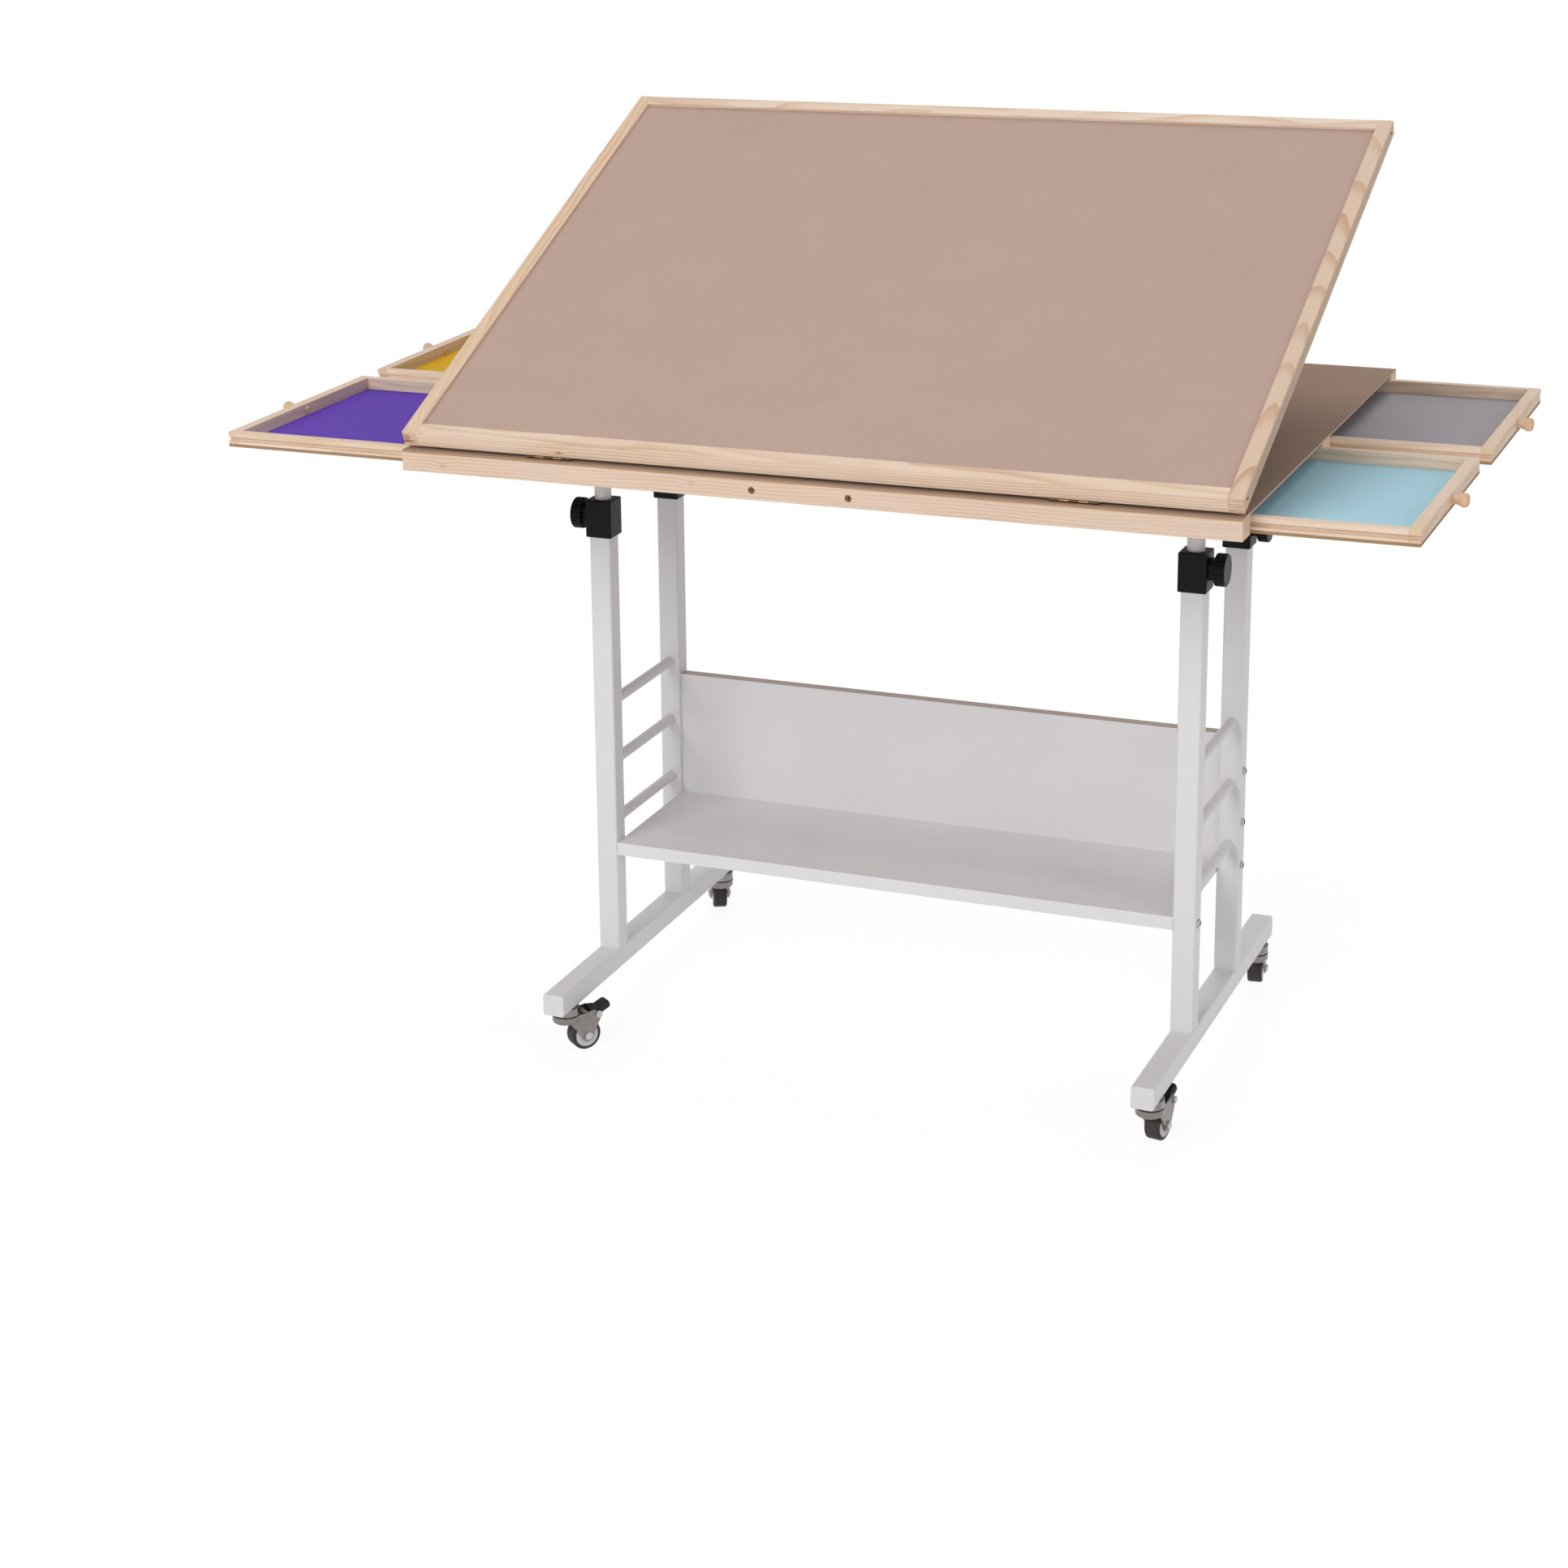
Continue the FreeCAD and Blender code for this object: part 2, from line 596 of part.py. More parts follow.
# ---- drawers ------------------------------------------------------------------------------

def drawer(side, row, opened):
    """Frame of four boards, bottom, and turned pull with its screw. Side and row are -1 or 1."""
    face = side * CASE_X
    back = side * (CASE_X - DRAWER_LENGTH)
    y0 = row * (BAY_INNER_Y + DRAWER_SIDE_GAP)
    y1 = row * (BAY_OUTER_Y - DRAWER_SIDE_GAP)
    low_y, high_y = min(y0, y1), max(y0, y1)
    groove_low = DRAWER_Z + GROOVE_Z
    groove_high = groove_low + GROOVE_HEIGHT
    grooves = [block(face, back, low_y, low_y + GROOVE_DEPTH, groove_low, groove_high),
               block(face, back, high_y - GROOVE_DEPTH, high_y, groove_low, groove_high)]
    front_inner = face - side * DRAWER_FRONT_THICKNESS
    back_inner = back + side * DRAWER_SIDE_THICKNESS
    side_low = low_y + DRAWER_SIDE_THICKNESS
    side_high = high_y - DRAWER_SIDE_THICKNESS
    top = DRAWER_TOP

    middle = Vector(face, (low_y + high_y) / 2, (DRAWER_FRAME_Z + top) / 2)
    out = Vector(side, 0, 0)
    pull = turned_pull(middle, out)
    screw = bolt(middle - out * DRAWER_FRONT_THICKNESS, out,
                 DRAWER_FRONT_THICKNESS + PULL_LENGTH * 0.6,
                 SCREW_DIA, PULL_SCREW_HEAD_DIA, SCREW_HEAD_HEIGHT)
    front = block(face, front_inner, low_y, high_y, DRAWER_FRAME_Z, top).cut(screw)
    boards = [front,
              block(front_inner, back, low_y, side_low, DRAWER_FRAME_Z, top),
              block(front_inner, back, side_high, high_y, DRAWER_FRAME_Z, top),
              block(back_inner, back, side_low, side_high, DRAWER_FRAME_Z, top)]
    for groove in grooves:
        boards = [board.cut(groove) for board in boards]
    bottom = block(face, back, low_y, high_y, DRAWER_Z, DRAWER_FRAME_Z)

    shift = out * opened
    frame = [board.translated(shift) for board in boards]
    fittings = [piece.translated(shift) for piece in (pull.cut(screw), screw)]
    return frame, [bottom.translated(shift)], fittings


def turned_pull(base, out):
    """A wooden pull turned on a lathe: a neck that swells to a rounded head."""
    neck = PULL_NECK_DIA / 2
    head = PULL_DIA / 2
    rounding = PULL_LENGTH * 0.22
    corner = rounding * (1 - math.sqrt(0.5))
    points = [Vector(0, 0, 0), Vector(neck, 0, 0), Vector(neck * 0.94, 0, PULL_LENGTH * 0.25),
              Vector(head, 0, PULL_LENGTH * 0.62), Vector(head, 0, PULL_LENGTH - rounding),
              Vector(head - corner, 0, PULL_LENGTH - corner),
              Vector(head - rounding, 0, PULL_LENGTH), Vector(0, 0, PULL_LENGTH)]
    swell = Part.BSplineCurve()
    swell.interpolate(points[1:4])
    edges = [Part.LineSegment(points[0], points[1]).toShape(),
             swell.toShape(),
             Part.LineSegment(points[3], points[4]).toShape(),
             Part.Arc(points[4], points[5], points[6]).toShape(),
             Part.LineSegment(points[6], points[7]).toShape(),
             Part.LineSegment(points[7], points[0]).toShape()]
    turned = Part.Face(Part.Wire(edges)).revolve(Vector(0, 0, 0), Z_AXIS, 360)
    turned = turned.rotated(Vector(0, 0, 0), Y_AXIS, math.copysign(90, out.x))
    return turned.translated(base)


# ---- board --------------------------------------------------------------------------------

def board_panel_box():
    sides = BOARD_X - BOARD_SIDE_RAIL_WIDTH + PANEL_IN_GROOVE
    ends = BOARD_END_RAIL_WIDTH - PANEL_IN_GROOVE
    return block(-sides, sides, HINGE_Y + ends, BOARD_BACK - ends, PANEL_UNDERSIDE, PANEL_TOP)


def finger_slots(odd):
    """Blocks at the four corners, at every second level, that one rail leaves to the other."""
    slots = []
    step = BOARD_RAIL_HEIGHT / FINGERS
    inner_x = BOARD_X - BOARD_SIDE_RAIL_WIDTH
    for x, outer_x in ((-inner_x, -BOARD_X), (inner_x, BOARD_X)):
        for y, outer_y in ((HINGE_Y + BOARD_END_RAIL_WIDTH, HINGE_Y),
                           (BOARD_BACK - BOARD_END_RAIL_WIDTH, BOARD_BACK)):
            for level in range(odd, FINGERS, 2):
                z = BOARD_Z + level * step
                slots.append(block(x, outer_x, y, outer_y, z, z + step))
    return slots


def board_end_rail(front):
    """Front or rear rail, grooved for the panel, with fingers at its ends."""
    y0 = HINGE_Y if front else BOARD_BACK - BOARD_END_RAIL_WIDTH
    rail = block(-BOARD_X, BOARD_X, y0, y0 + BOARD_END_RAIL_WIDTH, BOARD_Z, BOARD_TOP)
    for slot in finger_slots(0):
        rail = rail.cut(slot)
    return [tilted(rail.cut(board_panel_box()).removeSplitter())]


def board_side_rail(side):
    rail = block(side * (BOARD_X - BOARD_SIDE_RAIL_WIDTH), side * BOARD_X, HINGE_Y, BOARD_BACK,
                 BOARD_Z, BOARD_TOP)
    for slot in finger_slots(1):
        rail = rail.cut(slot)
    return [tilted(rail.cut(board_panel_box()).removeSplitter())]


def board_panel():
    return [tilted(board_panel_box())]


# ---- hinges -------------------------------------------------------------------------------

def hinge_leaves(upper):
    """One leaf of each butt hinge with its knuckles. The upper leaf carries the pin."""
    leaves = []
    barrel_radius = BOARD_GAP / 2 - FREE_GAP
    knuckle = HINGE_WIDTH / HINGE_KNUCKLES
    axis = Vector(0, HINGE_Y, HINGE_Z)
    for middle in (-HINGE_SPACING / 2, HINGE_SPACING / 2):
        left = middle - HINGE_WIDTH / 2
        sheet_z = BOARD_Z - HINGE_LEAF_THICKNESS if upper else CASE_TOP
        back = HINGE_Y + HINGE_LEAF_LENGTH
        leaf = block(left, left + HINGE_WIDTH, HINGE_Y + barrel_radius + FREE_GAP, back,
                     sheet_z, sheet_z + HINGE_LEAF_THICKNESS)
        for index in range(1 if upper else 0, HINGE_KNUCKLES, 2):
            start = left + index * knuckle + KNUCKLE_GAP / 2
            end = start + knuckle - KNUCKLE_GAP
            barrel = rod(2 * barrel_radius, axis + X_AXIS * start, axis + X_AXIS * end)
            tongue = block(start, end, HINGE_Y, HINGE_Y + barrel_radius + FREE_GAP + 1,
                           sheet_z if upper else HINGE_Z - barrel_radius,
                           HINGE_Z + barrel_radius if upper else sheet_z + HINGE_LEAF_THICKNESS)
            leaf = leaf.fuse(barrel).fuse(tongue)
        hole = HINGE_PIN_DIA if upper else HINGE_PIN_DIA + 2 * PIN_FIT
        start = axis + X_AXIS * left
        end = axis + X_AXIS * (left + HINGE_WIDTH)
        leaf = leaf.cut(rod(hole, start, end)).removeSplitter()
        if upper:
            leaves += [tilted(leaf), tilted(rod(HINGE_PIN_DIA, start, end))]
        else:
            leaves.append(leaf)
    return leaves


# ---- prop ---------------------------------------------------------------------------------

def prop_pose(shape):
    """A piece of the prop, turned back twice the board's tilt and raised with the board."""
    pivot = Vector(0, PROP_PIVOT_Y, PROP_PIVOT_Z)
    return tilted(shape.rotated(pivot, X_AXIS, -2 * BOARD_TILT))


def bent_rod(points, diameter, bend_radius):
    """A round rod along straight runs with a round bend at each inner point."""
    edges = []
    start = points[0]
    for before, corner, after in zip(points, points[1:], points[2:]):
        back = (before - corner).normalize()
        ahead = (after - corner).normalize()
        half = back.getAngle(ahead) / 2
        tangent = bend_radius / math.tan(half)
        inward = (back + ahead).normalize()
        middle = corner + inward * (bend_radius / math.sin(half) - bend_radius)
        edges.append(Part.LineSegment(start, corner + back * tangent).toShape())
        edges.append(Part.Arc(corner + back * tangent, middle, corner + ahead * tangent).toShape())
        start = corner + ahead * tangent
    edges.append(Part.LineSegment(start, points[-1]).toShape())
    circle = Part.makeCircle(diameter / 2, points[0], points[1] - points[0])
    return Part.Wire(edges).makePipeShell([Part.Wire([circle])], True, False)


def prop_bail():
    """A rod bent to a U: two arms, the foot between them, and a pin out of each arm."""
    arm = PROP_WIDTH / 2
    pin = arm + PROP_PIN_LENGTH
    foot_y = PROP_PIVOT_Y + PROP_LENGTH
    z = PROP_PIVOT_Z
    points = [Vector(-pin, PROP_PIVOT_Y, z), Vector(-arm, PROP_PIVOT_Y, z), Vector(-arm, foot_y, z),
              Vector(arm, foot_y, z), Vector(arm, PROP_PIVOT_Y, z), Vector(pin, PROP_PIVOT_Y, z)]
    return [prop_pose(bent_rod(points, PROP_ROD_DIA, PROP_BEND_RADIUS))]


def prop_brackets():
    """Blocks under the board's panel, in which the prop's pins turn."""
    brackets = []
    outer = PROP_WIDTH / 2 + PROP_PIN_LENGTH
    bore = PROP_ROD_DIA / 2 + PIN_FIT
    low = PROP_PIVOT_Z - bore - BRACKET_WALL
    for side in (-1, 1):
        x0 = side * (outer - BRACKET_WIDTH)
        x1 = side * outer
        body = block(x0, x1, PROP_PIVOT_Y - BRACKET_LENGTH / 2, PROP_PIVOT_Y + BRACKET_LENGTH / 2,
                     low, PANEL_UNDERSIDE)
        lower_edges = [edge for edge in long_edges(body, X_AXIS) if edge.BoundBox.ZMax < low + 1]
        body = body.makeFillet(BRACKET_WALL, lower_edges)
        start = Vector(x0, PROP_PIVOT_Y, PROP_PIVOT_Z)
        end = Vector(x1, PROP_PIVOT_Y, PROP_PIVOT_Z)
        brackets.append(tilted(body.cut(rod(2 * bore, start, end))))
    return brackets


def foot_reach(tilt_degrees):
    """The prop foot's distance behind the hinge line at a tilt of the board."""
    tilt = math.radians(tilt_degrees)
    along = PROP_PIVOT_ALONG * math.cos(tilt) - PROP_PIVOT_ABOVE * math.sin(tilt)
    return along + PROP_LENGTH * math.cos(tilt)


def prop_racks():
    """Notched strips on the case's top, along which the prop's foot is set."""
    front = HINGE_Y + foot_reach(BOARD_TILT_MAX) - RACK_END
    back = HINGE_Y + foot_reach(0) + RACK_END
    racks = []
    for x in (-RACK_SPACING / 2, RACK_SPACING / 2):
        strip = block(x - RACK_WIDTH / 2, x + RACK_WIDTH / 2, front, back, CASE_TOP, RACK_TOP)
        y = front + RACK_END
        while y < back - RACK_END / 2:
            centre = Vector(x - RACK_WIDTH, y, RACK_TOP + PROP_ROD_DIA / 2 - RACK_NOTCH_DEPTH)
            strip = strip.cut(Part.makeCylinder(PROP_ROD_DIA / 2, 2 * RACK_WIDTH, centre, X_AXIS))
            y += RACK_NOTCH_PITCH
        racks.append(strip)
    return racks


# ---- casters ------------------------------------------------------------------------------

def crown_bottom():
    return CASTER_HEIGHT - RACE_HEIGHT - FREE_GAP - CROWN_HEIGHT


def caster_mount():
    """Fixed race, threaded stem above it and kingpin below, with the rivet head that ends it."""
    race = Part.makeCylinder(CROWN_DIA / 2, RACE_HEIGHT, Vector(0, 0, CASTER_HEIGHT - RACE_HEIGHT))
    lower_rim = [edge for edge in race.Edges if edge.BoundBox.ZMax < CASTER_HEIGHT - RACE_HEIGHT + 0.1]
    race = race.makeFillet(RACE_EDGE, lower_rim)
    low = crown_bottom() - FREE_GAP
    pin = rod(KINGPIN_DIA, Vector(0, 0, low), Vector(0, 0, CASTER_HEIGHT + STEM_LENGTH))
    head = rod(RIVET_HEAD_DIA, Vector(0, 0, low - RIVET_HEAD_HEIGHT), Vector(0, 0, low))
    return race.fuse(pin).fuse(head).removeSplitter()


def cheek_outline(braked):
    """Side view of a fork's cheek, in the plane of trail and height."""
    top = CASTER_HEIGHT - RACE_HEIGHT - FREE_GAP
    low = crown_bottom()
    radius = AXLE_BOSS_DIA / 2
    crown_back = CROWN_DIA / 2
    axle = Vector(0, CASTER_TRAIL, WHEEL_RADIUS)
    if braked:
        back = axle + Vector(0, PEDAL_PIN_OUT + PEDAL_PIN_HEAD_DIA * 0.6, PEDAL_PIN_UP)
        rise = Vector(0, back.y - PEDAL_PIN_HEAD_DIA * 1.2, back.z + PEDAL_PIN_HEAD_DIA * 0.7)
    else:
        back = Vector(0, crown_back + CHEEK_THICKNESS, low)
        rise = Vector(0, crown_back + CHEEK_THICKNESS, top - CHEEK_THICKNESS)
    corners = [back, rise, Vector(0, crown_back, top), Vector(0, 0, top), Vector(0, 0, low)]
    front, rear = axle - Vector(0, radius, 0), axle + Vector(0, radius, 0)
    edges = [Part.Arc(front, axle - Vector(0, 0, radius), rear).toShape()]
    for start, end in zip([rear] + corners, corners + [front]):
        edges.append(Part.LineSegment(start, end).toShape())
    return Part.Face(Part.Wire(edges))


def caster_fork(braked):
    """Crown and two cheeks in one pressing, with the axle and, on a braked one, the pedal pin."""
    low = crown_bottom()
    crown = Part.makeCylinder(CROWN_DIA / 2, CROWN_HEIGHT, Vector(0, 0, low))
    lower_rim = [edge for edge in crown.Edges if edge.BoundBox.ZMax < low + 0.1]
    crown = crown.makeFillet(CROWN_EDGE, lower_rim)
    outline = cheek_outline(braked)
    fork = crown
    for side in (-1, 1):
        cheek = outline.extrude(Vector(side * CHEEK_THICKNESS, 0, 0))
        fork = fork.fuse(cheek.translated(Vector(side * CHEEK_X, 0, 0)))
    kingpin_hole = Part.makeCylinder(KINGPIN_DIA / 2 + PIN_FIT, CROWN_HEIGHT, Vector(0, 0, low))
    fork = fork.removeSplitter().cut(kingpin_hole)
    axle_at = Vector(0, CASTER_TRAIL, WHEEL_RADIUS)
    pins = [cross_pin(axle_at, AXLE_DIA, AXLE_HEAD_DIA)]
    if braked:
        pins.append(cross_pin(pedal_pin_at(), PEDAL_PIN_DIA, PEDAL_PIN_HEAD_DIA))
    for pin in pins:
        fork = fork.cut(pin)
    return [fork] + pins


def pedal_pin_at():
    return Vector(0, CASTER_TRAIL + PEDAL_PIN_OUT, WHEEL_RADIUS + PEDAL_PIN_UP)


def cross_pin(centre, diameter, head_diameter):
    """A pin across the fork with a head on each cheek."""
    outside = CHEEK_X + CHEEK_THICKNESS
    pin = rod(diameter, centre - X_AXIS * outside, centre + X_AXIS * outside)
    for side in (-1, 1):
        start = centre + X_AXIS * (side * outside)
        head = Part.makeCylinder(head_diameter / 2, AXLE_HEAD_HEIGHT, start, X_AXIS * side)
        pin = pin.fuse(head)
    return pin.removeSplitter()


def caster_wheel():
    """Tyre and hub."""
    centre = Vector(-WHEEL_WIDTH / 2, CASTER_TRAIL, WHEEL_RADIUS)
    hub_radius = WHEEL_RADIUS - TYRE_THICKNESS
    tyre = Part.makeCylinder(WHEEL_RADIUS, WHEEL_WIDTH, centre, X_AXIS)
    rims = [edge for edge in tyre.Edges if edge.Curve.TypeId == "Part::GeomCircle"]
    tyre = tyre.makeFillet(TYRE_EDGE, rims)
    hub = Part.makeCylinder(hub_radius, WHEEL_WIDTH, centre, X_AXIS)
    tyre = tyre.cut(hub)
    bore = Part.makeCylinder(AXLE_DIA / 2 + PIN_FIT, WHEEL_WIDTH, centre, X_AXIS)
    return [tyre, hub.cut(bore)]


def brake_pedal():
    """Paddle that turns on the pedal pin between the cheeks."""
    pin = pedal_pin_at()
    half = PEDAL_WIDTH / 2
    hub = rod(PEDAL_HUB_DIA, pin - X_AXIS * half, pin + X_AXIS * half)
    thick = PEDAL_THICKNESS / 2
    paddle = block(-half, half, pin.y, pin.y + PEDAL_REACH, pin.z - thick, pin.z + thick)
    far = [edge for edge in long_edges(paddle, Z_AXIS) if edge.BoundBox.YMin > pin.y + 1]
    paddle = paddle.makeFillet(half * 0.5, far)
    rims = [edge for edge in paddle.Edges
            if abs(edge.BoundBox.ZMax - edge.BoundBox.ZMin) < 0.1 and edge.BoundBox.YMax > pin.y + 1]
    paddle = paddle.makeFillet(PEDAL_THICKNESS * 0.35, rims)
    pedal = hub.fuse(paddle).removeSplitter()
    pedal = pedal.rotated(pin, X_AXIS, PEDAL_RISE)
    bore = rod(PEDAL_PIN_DIA + 2 * PIN_FIT, pin - X_AXIS * (half + 1), pin + X_AXIS * (half + 1))
    return [pedal.cut(bore)]


def placed_caster(pieces, x, y, trail):
    """Pieces of a caster, turned to the way its fork trails and set under the foot beam."""
    centre = Vector(0, 0, 0)
    return [piece.rotated(centre, Z_AXIS, -trail).translated(Vector(x, y, 0)) for piece in pieces]


# ---- the table ----------------------------------------------------------------------------

def all_parts():
    """Every node's name with its solids."""
    parts = {}
    corners = {"front_left": (-POST_X, -1), "front_right": (POST_X, -1),
               "rear_left": (-POST_X, 1), "rear_right": (POST_X, 1)}
    frame_bolts = board_bolts()
    parts["side_frame_left"] = side_frame(-1, frame_bolts)
    parts["side_frame_right"] = side_frame(1, frame_bolts)
    parts["foot_end_caps"] = foot_end_caps()
    wood_fasteners = frame_bolts + shelf_screws()
    parts["shelf"] = shelf(wood_fasteners)
    parts["back_panel"] = back_panel(wood_fasteners)
    parts["shelf_and_panel_bolts"] = wood_fasteners
    parts["clamp_blocks"] = [clamp_block(x, row * POST_Y) for x, row in corners.values()]
    for name, (x, row) in corners.items():
        parts["clamp_knob_" + name] = clamp_knob(x, row * POST_Y)

    corner_bolts = lift_bolts()
    parts["lift_side_left"] = lift_side(-1, corner_bolts)
    parts["lift_side_right"] = lift_side(1, corner_bolts)
    parts["lift_cross_tube_front"] = cross_tube(-CROSS_TUBE_Y, corner_bolts)
    parts["lift_cross_tube_rear"] = cross_tube(CROSS_TUBE_Y, corner_bolts)
    parts["lift_frame_bolts"] = corner_bolts
    parts["bearing_bars"] = bearing_bars()
    parts["bearing_lower_plate"] = bearing_lower_plate()
    parts["bearing_balls"] = bearing_balls()

    screws = case_screws()
    parts["bearing_upper_plate"] = bearing_upper_plate()
    parts["case_front_rail"] = case_end_rail(-1, screws)
    parts["case_rear_rail"] = case_end_rail(1, screws)
    parts["case_dividers"] = case_dividers()
    parts["case_cross_rails"] = case_cross_rails(screws)
    parts["case_screws"] = screws
    parts["case_top_panel"] = case_top_panel()
    parts["drawer_runners"] = drawer_runners()
    parts["hinge_lower_leaves"] = hinge_leaves(False)
    parts["prop_racks"] = prop_racks()

    opened = {"front_left": OPEN_FRONT_LEFT, "front_right": OPEN_FRONT_RIGHT,
              "rear_left": OPEN_REAR_LEFT, "rear_right": OPEN_REAR_RIGHT}
    for name, (x, row) in corners.items():
        frame, bottom, fittings = drawer(math.copysign(1, x), row, opened[name])
        parts["drawer_frame_" + name] = frame
        parts["drawer_bottom_" + name] = bottom
        parts["drawer_pull_" + name] = fittings

    parts["board_front_rail"] = board_end_rail(True)
    parts["board_rear_rail"] = board_end_rail(False)
    parts["board_left_rail"] = board_side_rail(-1)
    parts["board_right_rail"] = board_side_rail(1)
    parts["board_panel"] = board_panel()
    parts["hinge_upper_leaves"] = hinge_leaves(True)
    parts["prop_brackets"] = prop_brackets()
    parts["prop_bail"] = prop_bail()

    trails = {"front_left": TRAIL_FRONT_LEFT, "front_right": TRAIL_FRONT_RIGHT,
              "rear_left": TRAIL_REAR_LEFT, "rear_right": TRAIL_REAR_RIGHT}
    mounts = []
    for name, (x, row) in corners.items():
        where = (x, row * CASTER_Y, trails[name])
        braked = row < 0
        mounts += placed_caster([caster_mount()], *where)
        parts["caster_fork_" + name] = placed_caster(caster_fork(braked), *where)
        parts["caster_wheel_" + name] = placed_caster(caster_wheel(), *where)
        if braked:
            parts["brake_pedal_" + name] = placed_caster(brake_pedal(), *where)
    parts["caster_mounts"] = mounts
    return parts


def main():
    os.makedirs("parts", exist_ok=True)
    for name, solids in all_parts().items():
        whole = solids[0] if len(solids) == 1 else Part.makeCompound(solids)
        whole = whole.translated(Vector(-ORIGIN_X, 0, 0))
        whole.exportStep("parts/" + name + ".step")


main()
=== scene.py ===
import json
import math

import bmesh
import bpy
from mathutils import Euler, Matrix, Vector


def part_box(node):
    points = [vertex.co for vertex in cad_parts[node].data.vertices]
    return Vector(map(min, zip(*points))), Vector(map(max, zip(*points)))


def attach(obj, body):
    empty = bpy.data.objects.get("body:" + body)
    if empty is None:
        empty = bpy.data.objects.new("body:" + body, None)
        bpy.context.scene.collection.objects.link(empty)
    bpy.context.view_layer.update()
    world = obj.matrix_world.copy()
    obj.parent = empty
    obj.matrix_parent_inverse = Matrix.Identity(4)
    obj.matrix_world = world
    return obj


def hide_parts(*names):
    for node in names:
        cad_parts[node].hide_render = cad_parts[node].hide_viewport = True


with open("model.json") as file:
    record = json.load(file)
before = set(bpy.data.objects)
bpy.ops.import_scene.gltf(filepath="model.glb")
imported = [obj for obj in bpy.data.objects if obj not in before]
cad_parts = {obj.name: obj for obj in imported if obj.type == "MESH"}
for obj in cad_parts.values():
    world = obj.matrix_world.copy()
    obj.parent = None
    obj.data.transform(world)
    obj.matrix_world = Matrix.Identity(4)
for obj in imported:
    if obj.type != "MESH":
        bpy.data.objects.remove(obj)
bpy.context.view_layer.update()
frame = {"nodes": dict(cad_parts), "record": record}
nodes = frame["nodes"]
record = frame["record"]
scene = bpy.context.scene
body_of = {node: body for body, members in record["behaviour"]["bodies"].items()
           for node in members}
slot_of = {part["node"]: part["material_slot"] for part in record["subparts"]}

MM = 0.001
BOARD_TILT = math.radians(23)
CORNERS = ("front_left", "front_right", "rear_left", "rear_right")

# How a piece is turned so that its grain runs along X and it lies flat.
ALONG_X = (0, 0, 0)
ALONG_Y = (0, 0, math.radians(-90))
BOARD_ALONG_X = (-BOARD_TILT, 0, 0)
BOARD_ALONG_Y = (-BOARD_TILT, 0, math.radians(-90))


def middle(node):
    """The middle of a node's box."""
    low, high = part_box(node)
    return (low + high) / 2


# ---- finishes -------------------------------------------------------------------------------

# Sockets of a colour mix: OVER lies on UNDER by SHARE, and the result is MIXED.
SHARE, UNDER, OVER, MIXED = 0, 6, 7, 2


def linear(colour):
    """An sRGB hex colour as linear RGBA."""
    channels = [int(colour[i:i + 2], 16) / 255 for i in (0, 2, 4)]
    straight = [c / 12.92 if c <= 0.04045 else ((c + 0.055) / 1.055) ** 2.4 for c in channels]
    return (*straight, 1.0)


def every(size):
    """The scale of a texture whose marks are this size across."""
    return 1 / size


def add(tree, kind, sockets=None, **settings):
    """Adds a node with its settings and returns its outputs. sockets gives each input, by name or
    number, a value or another node's output."""
    made = tree.nodes.new(kind)
    for key, value in settings.items():
        setattr(made, key, value)
    for key, value in (sockets or {}).items():
        if isinstance(value, bpy.types.NodeSocket):
            tree.links.new(value, made.inputs[key])
        else:
            made.inputs[key].default_value = value
    return made.outputs


def start(name):
    """A new material's node tree, with the place and the facing that its patterns read."""
    material = bpy.data.materials.new(name)
    material.use_nodes = True
    tree = material.node_tree
    tree.nodes.clear()
    place = add(tree, "ShaderNodeTexCoord")
    return material, tree, place["Object"], place["Normal"]


def powder_coat(name, colour, thick_film="dcdadc"):
    """White polyester powder baked on steel tube: satin, even, with a faint orange-peel ripple.
    The film is a little thicker in places, over a hand's width."""
    material, tree, place, _ = start(name)
    # Orange peel is 1.5 mm across, too fine to show, so it is drawn at 5 mm.
    peel = add(tree, "ShaderNodeTexNoise", {"Vector": place, "Scale": every(5 * MM),
                                            "Detail": 1.0})["Fac"]
    ripple = add(tree, "ShaderNodeBump", {"Height": peel, "Distance": 0.06 * MM, "Strength": 0.6})
    cloud = add(tree, "ShaderNodeTexNoise", {"Vector": place, "Scale": every(80 * MM)})["Fac"]
    film = add(tree, "ShaderNodeMix", {SHARE: cloud, UNDER: linear(colour),
                                       OVER: linear(thick_film)}, data_type="RGBA")[MIXED]
    sheen = add(tree, "ShaderNodeMapRange", {"Value": peel, "To Min": 0.36, "To Max": 0.48})
    shader = add(tree, "ShaderNodeBsdfPrincipled",
                 {"Base Color": film, "Roughness": sheen[0], "Normal": ripple[0]})
    add(tree, "ShaderNodeOutputMaterial", {"Surface": shader[0]})
    return material


